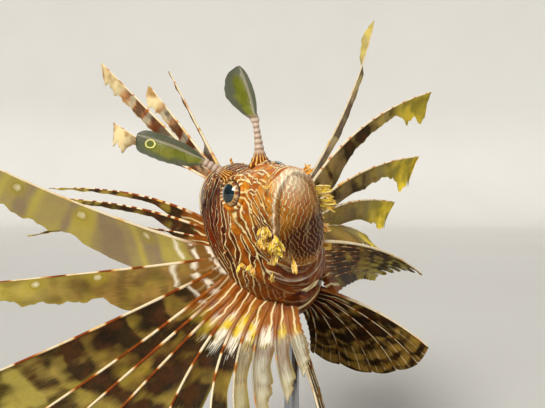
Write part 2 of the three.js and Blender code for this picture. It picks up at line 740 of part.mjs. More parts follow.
function lid(side) {
  const profile = [];
  for (let i = 0; i <= LID.corners; i += 1) {
    const angle = (2 * Math.PI * i) / LID.corners;
    const radius = EYE_RADIUS + LID.clear + LID.halfWide * Math.cos(angle);
    profile.push(new THREE.Vector2(radius, LID.halfDeep * Math.sin(angle)));
  }
  const ring = new THREE.LatheGeometry(profile, LID.sides);
  const outward = new THREE.Vector3(side, -EYE_AIM.ahead, EYE_AIM.up).normalize();
  ring.applyQuaternion(new THREE.Quaternion().setFromUnitVectors(new THREE.Vector3(0, 1, 0), outward));
  const centre = eyeCentre(side).addScaledVector(outward, LID.out);
  ring.translate(centre.x, centre.y, centre.z);
  return ring;
}

// Line of the mouth: a thin blade that runs from one corner round the lip to the other
function mouthCut() {
  const { halfThick, depth, reach, steps } = MOUTH_CUT;
  const rings = [];
  for (let i = -steps; i <= steps; i += 1) {
    const back = Math.max(Math.abs(i) / steps, 0.015) * (MOUTH_CORNER.back + 0.02);
    const surface = bodySide(back, mouthHeight(back), Math.sign(i) || 1);
    if (i === 0) surface.setX(0);
    const outward = new THREE.Vector3(surface.x, -0.06 * HEAD_LENGTH, 0).normalize();
    const inner = surface.clone().addScaledVector(outward, -depth);
    const outer = surface.clone().addScaledVector(outward, reach);
    rings.push([
      inner.clone().setZ(inner.z - halfThick),
      inner.clone().setZ(inner.z + halfThick),
      outer.clone().setZ(outer.z + halfThick),
      outer.clone().setZ(outer.z - halfThick),
    ]);
  }
  const middle = (ring) => ring.reduce((sum, p) => sum.add(p), new THREE.Vector3()).divideScalar(4);
  return loft(rings, middle(rings[0]), middle(rings[rings.length - 1]));
}

// Two nostrils on each side of the snout: distance behind the lip and height
const NOSTRILS = [[0.17, 0.085], [0.23, 0.105]];
const NOSTRIL_RADIUS = 0.9;

function nostrils() {
  const pits = [];
  for (const side of [-1, 1]) {
    for (const [back, height] of NOSTRILS) {
      pits.push(solidOf(ball(bodySide(back, height, side), NOSTRIL_RADIUS, 8)));
    }
  }
  return joined(pits);
}

function mesh(name, geometry, finish) {
  const piece = new THREE.Mesh(geometry, new THREE.MeshStandardMaterial(finish));
  piece.name = name;
  return piece;
}

// Fish
const headGeometry = headShell();
const headRoom = joined([solidOf(headShell(GAP)), tufts(-1, GAP), tufts(1, GAP)]);
const eyeRooms = [-1, 1].map((side) => solidOf(ball(eyeCentre(side), EYE_RADIUS + GAP, EYE_SIDES + 4)));
const head = joined([solidOf(headGeometry), tufts(-1), tufts(1), solidOf(lid(-1)), solidOf(lid(1))])
  .subtract(joined(eyeRooms))
  .subtract(nostrils())
  .subtract(solidOf(mouthCut()));

const trunkGeometry = bodyLength(TRUNK, TRUNK_SLIM);
const tailGeometry = bodyLength(TAIL, 1);
const trunkGrown = inflated(trunkGeometry, GAP);
const bodyRoom = joined([headRoom, solidOf(trunkGrown), solidOf(inflated(tailGeometry, GAP))]);

const cutByBody = (geometry) => geometryFrom(solidOf(geometry).subtract(bodyRoom));

const fish = new THREE.Group();
fish.add(mesh('head', geometryFrom(head), FINISHES.skin));
fish.add(mesh('trunk', geometryFrom(solidOf(trunkGeometry).subtract(headRoom)), FINISHES.skin));
fish.add(mesh('tail_stalk', tailGeometry, FINISHES.skin));
for (const [label, side] of [['right', -1], ['left', 1]]) {
  fish.add(mesh(`eye_${label}`, ball(eyeCentre(side), EYE_RADIUS, EYE_SIDES), FINISHES.eye));
  fish.add(mesh(`tentacle_${label}`, cutByBody(tentacle(side)), FINISHES.tentacle));
}
fish.add(mesh('pectoral_fin_right', cutByBody(pairedFin(RIGHT_PECTORAL, -1)), FINISHES.fin));
fish.add(mesh('pectoral_fin_left', cutByBody(pairedFin(LEFT_PECTORAL, 1)), FINISHES.fin));
fish.add(mesh('pelvic_fin_right', cutByBody(pairedFin(RIGHT_PELVIC, -1)), FINISHES.darkFin));
fish.add(mesh('pelvic_fin_left', cutByBody(pairedFin(LEFT_PELVIC, 1)), FINISHES.darkFin));
fish.add(mesh('dorsal_spines', cutByBody(medianFin(SPINY_DORSAL)), FINISHES.fin));
fish.add(mesh('soft_dorsal_fin', cutByBody(medianFin(SOFT_DORSAL)), FINISHES.fin));
fish.add(mesh('anal_fin', cutByBody(medianFin(ANAL_FIN)), FINISHES.fin));
fish.add(mesh('tail_fin', cutByBody(caudalFin(TAIL_FIN)), FINISHES.fin));
fish.rotation.set(radians(PITCH), radians(ROLL), radians(YAW), 'ZXY');
fish.position.set(0, -LIP_FORWARD, LIP_HEIGHT);
fish.updateMatrixWorld(true);

// Flat base plate with round corners and a small chamfer
function basePlate() {
  const outline = new THREE.Shape();
  const x = BASE_WIDTH / 2 - BASE_CORNER;
  const y = BASE_LENGTH / 2 - BASE_CORNER;
  const radius = BASE_CORNER - BASE_CHAMFER;
  outline.absarc(x, y, radius, 0, Math.PI / 2);
  outline.absarc(-x, y, radius, Math.PI / 2, Math.PI);
  outline.absarc(-x, -y, radius, Math.PI, 1.5 * Math.PI);
  outline.absarc(x, -y, radius, 1.5 * Math.PI, 2 * Math.PI);
  const plate = new THREE.ExtrudeGeometry(outline, {
    depth: BASE_THICKNESS - 2 * BASE_CHAMFER,
    bevelThickness: BASE_CHAMFER,
    bevelSize: BASE_CHAMFER,
    bevelSegments: 1,
    curveSegments: 6,
  });
  plate.translate(0, 0, BASE_CHAMFER);
  return plate;
}

// Rod with a collar, from the base up into the belly, cut off just below the skin
function standRod() {
  const foot = bodyPoint(ROD_STATION, Math.PI).applyMatrix4(fish.matrixWorld);
  const start = BASE_THICKNESS + GAP;
  const height = foot.z + ROD_SINK - start;
  const profile = [
    [0, 0],
    [COLLAR_RADIUS, 0],
    [COLLAR_RADIUS, COLLAR_HEIGHT - 1],
    [COLLAR_RADIUS - 1, COLLAR_HEIGHT],
    [ROD_RADIUS, COLLAR_HEIGHT],
    [ROD_RADIUS, height],
    [0, height],
  ];
  const rod = new THREE.LatheGeometry(profile.map(([x, y]) => new THREE.Vector2(x, y)), 16);
  rod.rotateX(Math.PI / 2);
  rod.translate(foot.x, foot.y, start);
  const belly = trunkGrown.clone().applyMatrix4(fish.matrixWorld);
  return geometryFrom(solidOf(rod).subtract(solidOf(belly)));
}

const model = new THREE.Group();
model.add(fish);
model.add(mesh('stand_base', basePlate(), FINISHES.stand));
model.add(mesh('stand_rod', standRod(), FINISHES.rod));

export default model;
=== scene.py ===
"""Looks of a life-size red lionfish that swims on a plain display stand."""

import collections
import functools
import math
import types

import bpy
import numpy as np
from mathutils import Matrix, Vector


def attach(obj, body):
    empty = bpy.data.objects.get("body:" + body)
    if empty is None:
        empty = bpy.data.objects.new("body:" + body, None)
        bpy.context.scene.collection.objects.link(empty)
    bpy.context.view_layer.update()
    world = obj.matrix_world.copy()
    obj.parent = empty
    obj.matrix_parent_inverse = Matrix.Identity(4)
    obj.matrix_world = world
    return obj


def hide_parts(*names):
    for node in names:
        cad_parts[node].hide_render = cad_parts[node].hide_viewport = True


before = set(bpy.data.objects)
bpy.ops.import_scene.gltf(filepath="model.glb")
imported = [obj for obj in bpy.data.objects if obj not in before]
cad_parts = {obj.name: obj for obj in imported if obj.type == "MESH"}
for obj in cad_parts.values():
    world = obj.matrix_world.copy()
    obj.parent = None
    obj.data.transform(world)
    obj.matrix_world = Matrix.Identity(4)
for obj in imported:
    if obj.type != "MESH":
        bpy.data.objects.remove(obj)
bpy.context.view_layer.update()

bl_info = {
    "name": "Red Lionfish Model",
    "version": (1, 0, 0),
    "blender": (4, 5, 0),
    "location": "3D View > Sidebar > Lionfish",
    "description": "Skin, eyes, fins and stand finish of a life-size red lionfish",
    "category": "Object",
}

# The fish is worked out in head lengths, x to its left, y back from the lip, z up. Its
# head length and the place of its lip are in metres, MM is a millimetre in head lengths,
# and its turns are in degrees
HEAD_LENGTH = 0.066
MM = 0.001 / HEAD_LENGTH
YAW = 10.3
PITCH = -16.9
ROLL = -30.0
LIP_PLACE = (0.0, -0.096, 0.136)

# Body outline: distance behind the lip, top, bottom and half width
PROFILE = np.array([
    [0.00, 0.005, -0.005, 0.005],
    [0.03, 0.036, -0.048, 0.049],
    [0.09, 0.069, -0.114, 0.081],
    [0.18, 0.114, -0.195, 0.108],
    [0.28, 0.149, -0.266, 0.130],
    [0.37, 0.178, -0.308, 0.150],
    [0.46, 0.206, -0.317, 0.173],
    [0.58, 0.265, -0.375, 0.208],
    [0.72, 0.345, -0.443, 0.240],
    [0.88, 0.412, -0.502, 0.264],
    [1.15, 0.465, -0.512, 0.245],
    [1.50, 0.450, -0.425, 0.205],
    [1.90, 0.350, -0.310, 0.150],
    [2.25, 0.235, -0.205, 0.092],
    [2.50, 0.180, -0.165, 0.058],
    [2.62, 0.185, -0.175, 0.040],
])
BODY_END = 2.62
# Share of the outline that the trunk has where it starts under the gill cover
TRUNK_SLIM = 0.95
# Behind this place the tail swings to the left
BEND_START = 0.8
BEND_CURVE = 0.12
# Distance behind the lip of the head's rear edge
HEAD_EDGE = {"nape": 0.80, "cover": 0.93, "throat": 0.60}
# Corner of the mouth in the side view, and the power by which its line drops
MOUTH_CORNER = (0.36, -0.225)
MOUTH_POWER = 0.92
# The body's section: powers that square an ellipse sideways and upwards, and how much
# narrower it is on the crown, under the chin and under the chest
SQUARE_SIDE = 0.86
SQUARE_TOP = 0.95
CROWN, CHIN, CHEST = 0.12, 0.18, 0.02

# Rows and columns of the skin: head, fold of the gill cover, trunk
SKIN_COLUMNS = 336
HEAD_ROWS = 150
FOLD_ROWS = 12
TRUNK_ROWS = 116
FOLD_BACK = 0.014
FOLD_UNDER = 0.06

EYE_RADIUS = 4.7 * MM
EYE_CENTRE = np.array([0.106, 0.40, 0.122])
EYE_AIM = np.array([0.78, -0.54, 0.31])
CORNEA_BULGE = 0.05
EYE_ROWS, EYE_COLUMNS = 64, 72
# Ring of the lid round the eye's axis, and how high it stands over the eye's centre
LID_RADIUS = 4.55 * MM
LID_HEIGHT = 2.2 * MM
LID_ROWS, LID_SIDES = 120, 20
# The skin rises to the lid over this width, and drops inside it over the rim to the socket
LID_SLOPE = (0.2 * MM, 3.6 * MM)
LID_SINK = 0.1 * MM
SOCKET_RIM = 1.0 * MM
SOCKET_DEPTH = 3.4 * MM
# The right eye looks at the camera and the left eye is drawn in a little
EYE_DRAWN_IN = {-1: 0.0, 1: 1.7 * MM}
SIDES = {-1: "right", 1: "left"}
LID_TUBE = 0.72 * MM
# Edge of the pupil in degrees from the eye's axis
PUPIL_ANGLE = 35.0

# Bony ridges of the head in the side view, with their width, and their height in millimetres
HEAD_RIDGES = [
    {"start": (0.05, 0.015), "end": (0.37, -0.165), "width": 0.045, "height": 1.1},
    {"start": (0.44, 0.035), "end": (0.70, -0.02), "width": 0.03, "height": 0.9},
    {"start": (0.66, 0.10), "end": (0.60, -0.26), "width": 0.035, "height": 0.7},
    {"start": (0.28, 0.15), "end": (0.40, 0.19), "width": 0.035, "height": 0.6},
    {"start": (0.60, 0.32), "end": (0.78, 0.40), "width": 0.035, "height": 0.8},
]
# Ridge over the eye, from its front to its peak, which carries the tentacle
BROW_FRONT = np.array([0.066, 0.33, 0.155])
BROW_PEAK = np.array([0.084, 0.46, 0.222])
# Nostrils in the side view
NOSTRILS = [(0.17, 0.085), (0.23, 0.105)]
# Way of the skin's lines at places on the left half of the head: place, direction
LINE_GUIDES = [
    ((0.125, 0.675, 0.262), (0.50, 0.10, -0.80)),
    ((0.066, 0.799, 0.372), (0.70, -0.30, -0.50)),
    ((0.196, 0.498, 0.040), (0.42, 0.14, -0.90)),
    ((0.235, 0.635, 0.014), (0.44, 0.28, -0.86)),
    ((0.171, 0.396, -0.005), (0.01, 0.51, -0.86)),
    ((0.139, 0.199, 0.012), (0.03, -0.36, -0.93)),
    ((0.095, 0.240, 0.121), (-0.14, -0.62, -0.77)),
    ((0.083, 0.375, 0.218), (0.23, -0.93, -0.30)),
    ((0.057, 0.118, 0.090), (0.10, -0.86, -0.50)),
    ((0.030, 0.300, 0.180), (0.05, -1.00, -0.20)),
    ((0.033, 0.023, 0.027), (0.99, 0.13, -0.07)),
    ((0.088, 0.026, -0.012), (0.45, 0.63, -0.63)),
    ((0.123, 0.102, -0.055), (-0.03, 0.46, -0.89)),
    ((0.228, 0.623, -0.089), (0.24, 0.80, -0.55)),
    ((0.208, 0.600, -0.178), (0.26, 0.76, -0.60)),
    ((0.115, 0.514, -0.286), (-0.70, 0.02, -0.71)),
    ((0.046, 0.551, -0.353), (-0.90, 0.26, -0.36)),
    ((0.220, 0.780, -0.180), (0.10, 0.80, -0.60)),
    ((0.200, 0.740, -0.280), (0.05, 0.75, -0.66)),
    ((0.160, 0.680, -0.350), (-0.10, 0.70, -0.70)),
]
# How far a guide reaches
GUIDE_REACH = 0.10


def srgb(red, green, blue):
    """Linear colour of a screen colour given from 0 to 255."""
    parts = np.array([red, green, blue]) / 255.0
    linear = np.where(parts <= 0.04045, parts / 12.92, ((parts + 0.055) / 1.055) ** 2.4)
    return tuple(float(part) for part in linear)


def smoothstep(x, low, high):
    """0 up to low, 1 from high on, and a smooth rise between them."""
    t = np.clip((x - low) / (high - low), 0.0, 1.0)
    return t * t * (3.0 - 2.0 * t)


def bump(distance, width):
    """Bell curve: 1 at no distance, and falling to a third at the width."""
    return np.exp(-((distance / width) ** 2))


def lerp(a, b, share):
    """The value at a share of the way from a to b."""
    return a + (b - a) * share


def full_turn(count):
    """Angles evenly round a circle."""
    return np.linspace(0, 2 * math.pi, count, endpoint=False)


def circle(angle, first, second):
    """Directions round a circle: the cosine of the angle times the first, and its sine
    times the second."""
    return np.cos(angle)[..., None] * first + np.sin(angle)[..., None] * second


def sheet_columns(low, columns):
    """Columns across a thin closed sheet, from low to 1 on its front and back again on its
    rear, and 1 or -1 for the side that each is on."""
    s = np.linspace(low, 1, columns)
    face = np.repeat([1.0, -1.0], columns)
    return np.concatenate([s, s[::-1]])[None, None, :], face[None, None, :]


def unit(vectors):
    """The same vectors, one long."""
    return vectors / (np.linalg.norm(vectors, axis=-1, keepdims=True) + 1e-12)


def knots(rows, x):
    """Straight lines through rows of place and value, whose end values hold outside them.
    A plain number holds everywhere."""
    if isinstance(rows, (int, float)):
        return np.full(np.shape(x), float(rows))
    table = np.asarray(rows, float)
    return np.interp(x, table[:, 0], table[:, 1])


def curve(rows, x):
    """Smooth curve through rows of place and values: a cubic Hermite span between each two
    rows, whose slope at a row is that of the chord to the row before or after it."""
    table = np.asarray(rows, float)
    last = len(table) - 1
    x = np.asarray(x, float)
    i = np.clip(np.searchsorted(table[1:last, 0], x), 0, last - 1)
    start, end = table[i], table[i + 1]
    before, after = table[np.maximum(i - 1, 0)], table[np.minimum(i + 2, last)]
    span = end[..., :1] - start[..., :1]
    t = np.clip((x[..., None] - start[..., :1]) / span, 0.0, 1.0)
    slope_start = (end - before) / (end[..., :1] - before[..., :1]) * span
    slope_end = (after - start) / (after[..., :1] - start[..., :1]) * span
    value = (2 * t**3 - 3 * t**2 + 1) * start + (t**3 - 2 * t**2 + t) * slope_start
    value = value + (3 * t**2 - 2 * t**3) * end + (t**3 - t**2) * slope_end
    return value[..., 1:]


def wobble(points, size, seed, waves=7):
    """Smooth random height from -1 to 1: the mean of sine waves of about one size in
    random directions."""
    random = np.random.default_rng(seed)
    pull = unit(random.normal(size=(waves, 3))) * random.uniform(0.7, 1.4, (waves, 1))
    phase = random.uniform(0, 2 * math.pi, waves)
    return np.sin(points @ pull.T * (2 * math.pi / size) + phase).mean(axis=-1) * 1.6


def pose_matrix():
    """Turn of the fish: roll about its length, then pitch, then yaw."""
    (yaw_cos, pitch_cos, roll_cos) = np.cos(np.radians([YAW, PITCH, ROLL]))
    (yaw_sin, pitch_sin, roll_sin) = np.sin(np.radians([YAW, PITCH, ROLL]))
    turn = np.array([[yaw_cos, -yaw_sin, 0], [yaw_sin, yaw_cos, 0], [0, 0, 1]])
    dip = np.array([[1, 0, 0], [0, pitch_cos, -pitch_sin], [0, pitch_sin, pitch_cos]])
    lean = np.array([[roll_cos, 0, roll_sin], [0, 1, 0], [-roll_sin, 0, roll_cos]])
    return turn @ dip @ lean


POSE = pose_matrix()


def place(points):
    """Points of the fish in head lengths, put where they stand in the scene in metres."""
    return points * HEAD_LENGTH @ POSE.T + np.array(LIP_PLACE)


class Patchwork:
    """Grids of points gathered into one mesh, with named values at every point."""

    def __init__(self):
        self.points = []
        self.faces = []
        self.values = {}
        self.total = 0

    def add(self, points, loop=False, tips=None, capped=False, **values):
        """Adds one grid, or a stack of like grids, closed round their columns: points is
        (..., rows, columns, 3). loop joins the last row to the first, tips closes both ends
        on two points, and capped closes them with strips of quads. Each value is a vector at
        every point, or a number that spreads over the grid."""
        rows, columns = points.shape[-3:-1]
        stack = points.reshape(-1, rows * columns, 3)
        count = len(stack)
        index = np.arange(rows * columns).reshape(rows, columns)
        index = np.concatenate([index, index[:, :1]], axis=1)
        if loop:
            index = np.concatenate([index, index[:1]], axis=0)
        quads = np.stack([index[:-1, :-1], index[:-1, 1:], index[1:, 1:], index[1:, :-1]], -1)
        quads = quads.reshape(-1, 4)
        if capped:
            quads = np.concatenate([quads, self.strip(rows, columns)])
        flip = signed_volume(stack[0], quads) < 0
        if flip:
            quads = quads[:, ::-1]
        starts = self.total + np.arange(count) * rows * columns
        self.faces += (quads[None] + starts[:, None, None]).reshape(-1, 4).tolist()
        self.points.append(stack.reshape(-1, 3))
        for name, value in values.items():
            value = np.asarray(value, float)
            if value.shape == points.shape:
                flat = value.reshape(-1, 3)
            else:
                flat = np.broadcast_to(value, points.shape[:-1]).reshape(-1)
            self.values.setdefault(name, []).append(flat)
        self.total += count * rows * columns
        if tips is not None:
            self.close(points, tips, flip)

    def strip(self, rows, columns):
        """Quads that close both ends of a flattened tube, from its front to its rear."""
        j = np.arange(columns // 2 - 1)
        start = np.stack([j + 1, j, columns - 1 - j, columns - 2 - j], -1)
        end = start[:, ::-1] + (rows - 1) * columns
        return np.concatenate([start, end])

    def close(self, points, tips, flip):
        """Fans of triangles from the first and last ring of the last grid to two points."""
        rows, columns = points.shape[-3:-1]
        first = self.total - rows * columns
        ring = np.arange(columns)
        following = np.roll(ring, -1)
        for number, tip in enumerate(tips):
            base = first + number * (rows - 1) * columns
            order = [ring, following] if (number == 1) != flip else [following, ring]
            fan = np.stack([order[0] + base, order[1] + base, np.full(columns, self.total)], -1)
            self.faces += fan.tolist()
            self.points.append(np.asarray(tip, float).reshape(1, 3))
            for parts in self.values.values():
                source = parts[-1] if number == 0 else parts[-2]
                parts.append(source[:1] if number == 0 else source[-1:])
            self.total += 1

    def build(self, name, sharp=None):
        """The mesh object in the scene, with smooth faces and its values as attributes."""
        mesh = bpy.data.meshes.new(name)
        mesh.from_pydata(place(np.concatenate(self.points)), [], self.faces)
        mesh.polygons.foreach_set("use_smooth", np.ones(len(mesh.polygons), bool))
        for label, parts in self.values.items():
            data = np.concatenate(parts)
            kind = "FLOAT_VECTOR" if data.ndim == 2 else "FLOAT"
            field = "vector" if data.ndim == 2 else "value"
            attribute = mesh.attributes.new(label, kind, "POINT")
            attribute.data.foreach_set(field, data.astype(np.float32).ravel())
        if sharp is not None:
            mesh.set_sharp_from_angle(angle=math.radians(sharp))
        mesh.validate()
        mesh.update()
        piece = bpy.data.objects.new(name, mesh)
        bpy.context.scene.collection.objects.link(piece)
        return piece


def signed_volume(points, quads):
    """Six times the volume inside a closed surface of quads, negative if it is inside out."""
    a, b, c, d = (points[quads[:, corner]] for corner in range(4))
    middle = points.mean(axis=0)
    first = np.einsum("ij,ij->i", a - middle, np.cross(b - middle, c - middle))
    second = np.einsum("ij,ij->i", a - middle, np.cross(c - middle, d - middle))
    return (first + second).sum()


def bend_at(back):
    """How far the tail swings to the left, with the square of the distance past its start."""
    return BEND_CURVE * np.maximum(back - BEND_START, 0.0) ** 2


def body_point(back, angle, slim=1.0):
    """Point of the plain body: a squared ellipse round the middle of the outline at that
    distance, from the top to the left, moved aside where the tail swings."""
    outline = curve(PROFILE, back)
    top, bottom, half = outline[..., 0], outline[..., 1], outline[..., 2]
    up, side = np.cos(angle), np.sin(angle)
    under = lerp(CHIN, CHEST, smoothstep(back, 0.40, 0.75))
    narrow = np.where(up > 0, CROWN, under) * up * up
    x = np.sign(side) * np.abs(side) ** SQUARE_SIDE * half * (1 - narrow) * slim
    z = (top + bottom) / 2 + np.sign(up) * np.abs(up) ** SQUARE_TOP * (top - bottom) / 2 * slim
    return np.stack(np.broadcast_arrays(x + bend_at(back), back, z), -1)


def mouth_height(back):
    """Height of the mouth's line in the side view, a power of the distance behind the lip."""
    return MOUTH_CORNER[1] * (np.maximum(back, 0.0) / MOUTH_CORNER[0]) ** MOUTH_POWER


def segment_distance(points, start, end):
    """Distance from points to the line between two points."""
    start, end = np.asarray(start, float), np.asarray(end, float)
    along, reach = end - start, points - start
    share = np.clip(reach @ along / (along @ along + 1e-12), 0.0, 1.0)
    return np.linalg.norm(reach - share[..., None] * along, axis=-1)


def head_edge(angle):
    """Distance behind the lip of the head's rear edge, at an angle from the top."""
    up = np.cos(angle)
    end = np.where(up > 0, HEAD_EDGE["nape"], HEAD_EDGE["throat"])
    return lerp(HEAD_EDGE["cover"], end, np.abs(up) ** 1.6)


def head_relief(points):
    """How far the skin stands out from the plain body: rounded ridges along the head's
    bones, rims round the eye and the mouth, the mouth's groove and the folds of the
    throat, each the height times a bell curve of the distance from its line."""
    x, y, z = np.abs(points[..., 0]), points[..., 1], points[..., 2]
    flank = smoothstep(x, 0.03, 0.09)
    height = np.zeros_like(x)
    side_view = np.stack([y, z], -1)
    for ridge in HEAD_RIDGES:
        knobbly = 1.0 + 0.35 * wobble(points, 0.045, 11)
        near = bump(segment_distance(side_view, ridge["start"], ridge["end"]), ridge["width"])
        height += flank * ridge["height"] * knobbly * near
    eye_distance = np.hypot(y - EYE_CENTRE[1], z - EYE_CENTRE[2])
    height += flank * 0.8 * bump(eye_distance - 0.085, 0.028)
    mirrored = np.stack([x, y, z], -1)
    height += 1.3 * bump(segment_distance(mirrored, BROW_FRONT, BROW_PEAK), 0.040)
    height += 1.5 * bump(np.linalg.norm(mirrored - BROW_PEAK, axis=-1), 0.045)
    fade = smoothstep(MOUTH_CORNER[0] + 0.05 - y, 0.0, 0.06)
    below = mouth_height(y) - z
    height += fade * 0.35 * bump(below - 0.035, 0.022)
    height += fade * 0.45 * bump(below + 0.012, 0.008)
    height -= fade * 0.40 * bump(below, 0.0045)
    groove = bump(x, 0.05) * bump(y - 0.42, 0.14)
    height -= np.where(z > 0, 1.2 * groove, 0.0)
    underside = smoothstep(-z, 0.20, 0.27)
    height -= 2.2 * underside * bump(y - 0.475, 0.03)
    height += underside * (0.7 * bump(y - 0.435, 0.010) + 0.6 * bump(y - 0.525, 0.010))
    for back, level in NOSTRILS:
        opening = np.hypot(y - back, z - level)
        height += flank * (0.5 * bump(opening - 0.016, 0.006) - 1.4 * bump(opening, 0.009))
    height += 0.22 * wobble(points, 0.09, 3) + 0.10 * wobble(points, 0.035, 4)
    return height * MM


def eye_aim(side):
    """Direction in which the eye of a side looks."""
    return unit(EYE_AIM * np.array([side, 1, 1]))


def eye_centre(side):
    """Centre of the eye of a side, drawn in along its aim."""
    return EYE_CENTRE * np.array([side, 1, 1]) - EYE_DRAWN_IN[side] * eye_aim(side)


def eye_frame(side):
    """The eye's aim and two directions across it: one forwards, one upwards."""
    aim = eye_aim(side)
    ahead = unit(np.cross(aim, np.array([0.0, 0.0, 1.0]))) * side
    upward = unit(np.cross(ahead, aim)) * side
    return aim, ahead, upward


def seat_eye(points, side):
    """Brings the skin up to the lid and down inside it: its height along the eye's axis
    blends from its own to the lid's as it comes near the axis."""
    aim = eye_aim(side)
    offset = points - eye_centre(side)
    height = offset @ aim
    radial = np.linalg.norm(offset - height[..., None] * aim, axis=-1)
    near = 1 - smoothstep(radial, LID_RADIUS + LID_SLOPE[0], LID_RADIUS + LID_SLOPE[1])
    near = near * smoothstep(height, -0.12, -0.06)
    inside = 1 - smoothstep(radial, LID_RADIUS - SOCKET_RIM, LID_RADIUS)
    target = LID_HEIGHT - LID_SINK - inside * SOCKET_DEPTH
    return points + aim * ((target - height) * near)[..., None]


def cover_share(angle):
    """How far the gill cover stands free of the trunk: not at the nape, wholly below it."""
    turned = np.abs((angle + math.pi) % (2 * math.pi) - math.pi)
    return smoothstep(turned, 0.55, 1.15)


def skin_points():
    """The whole skin as one grid of rows behind the lip and angles from the top. The head
    follows the body's section out to the rear edge of the gill cover. There the rows turn
    in and forwards under the cover, then run back along the slimmer trunk to the tail."""
    angle = np.arange(SKIN_COLUMNS) / SKIN_COLUMNS * 2 * math.pi
    edge, free = head_edge(angle), cover_share(angle)
    along = ((np.arange(HEAD_ROWS) + 1.0) / HEAD_ROWS)[:, None] ** 1.15
    head = (along * edge, np.ones_like(along * edge), np.ones_like(along * edge))
    turn = ((np.arange(FOLD_ROWS) + 1.0) / FOLD_ROWS)[:, None]
    bulge = FOLD_BACK * np.sin(math.pi * np.clip(turn / 0.55, 0, 1))
    tucked = bulge - FOLD_UNDER * smoothstep(turn, 0.35, 1.0)
    fold_back = edge + free * tucked + (1 - free) * 0.03 * turn
    slim = lerp(1.0, TRUNK_SLIM, free)
    fold_slim = lerp(1.0, slim, smoothstep(turn, 0.0, 0.75))
    fold = (fold_back, fold_slim, np.broadcast_to(1 - turn, fold_back.shape))
    run = ((np.arange(TRUNK_ROWS) + 1.0) / TRUNK_ROWS)[:, None]
    trunk_back = lerp(fold_back[-1], BODY_END, run)
    trunk_slim = lerp(slim, 1.0, smoothstep(trunk_back, 0.9, 1.35))
    trunk = (trunk_back, trunk_slim, np.zeros_like(trunk_back))
    back, slim, relief = (np.concatenate(parts) for parts in zip(head, fold, trunk))
    points = body_point(back, angle, slim)
    ahead = body_point(back, angle + 0.02, slim) - points
    behind = body_point(back + 0.004, angle, slim) - points
    normal = unit(np.cross(ahead, behind))
    grown = head_relief(points) * relief + (1 - relief) * 0.12 * MM * wobble(points, 0.12, 9)
    points = points + normal * grown[..., None]
    for side in (-1, 1):
        points = seat_eye(points, side)
    rows = np.arange(len(points))
    on_trunk = smoothstep(rows, HEAD_ROWS + 1, HEAD_ROWS + FOLD_ROWS)[:, None]
    return points, np.broadcast_to(on_trunk, points.shape[:2])


def grid_normals(points):
    """Directions square to a grid that is closed round its columns."""
    across = np.roll(points, -1, axis=1) - np.roll(points, 1, axis=1)
    along = np.gradient(points, axis=0)
    return unit(np.cross(across, along)), unit(across), unit(along)


def line_field(points, normal, ring, along):
    """Direction across the skin's lines. The guides near a point and, behind the eye, the
    rear edge of the gill cover each give a direction and a weight. The lines follow the
    main axis of the sum of their weighted squares, so it does not matter which way along
    its line a guide points."""
    side = np.where(points[..., 0] < 0, -1.0, 1.0)
    mirrored = points.copy()
    mirrored[..., 0] = np.abs(points[..., 0])
    back, height = points[..., 1], points[..., 2]
    with_ring = 0.03 + 3.0 * smoothstep(back, 0.62, 0.80) * smoothstep(height, -0.16, 0.02)
    crossed, with_along = np.zeros_like(with_ring), np.zeros_like(with_ring)
    for at, direction in LINE_GUIDES:
        weight = np.exp(-((mirrored - at) ** 2).sum(-1) / GUIDE_REACH**2)
        aside, back, up = unit(np.array(direction))
        on_ring = side * aside * ring[..., 0] + back * ring[..., 1] + up * ring[..., 2]
        on_along = side * aside * along[..., 0] + back * along[..., 1] + up * along[..., 2]
        with_ring = with_ring + weight * on_ring**2
        crossed = crossed + weight * on_ring * on_along
        with_along = with_along + weight * on_along**2
    angle = 0.5 * np.arctan2(2 * crossed, with_ring - with_along)[..., None]
    lines = np.cos(angle) * ring + np.sin(angle) * along
    return unit(np.cross(normal, lines)) @ POSE.T


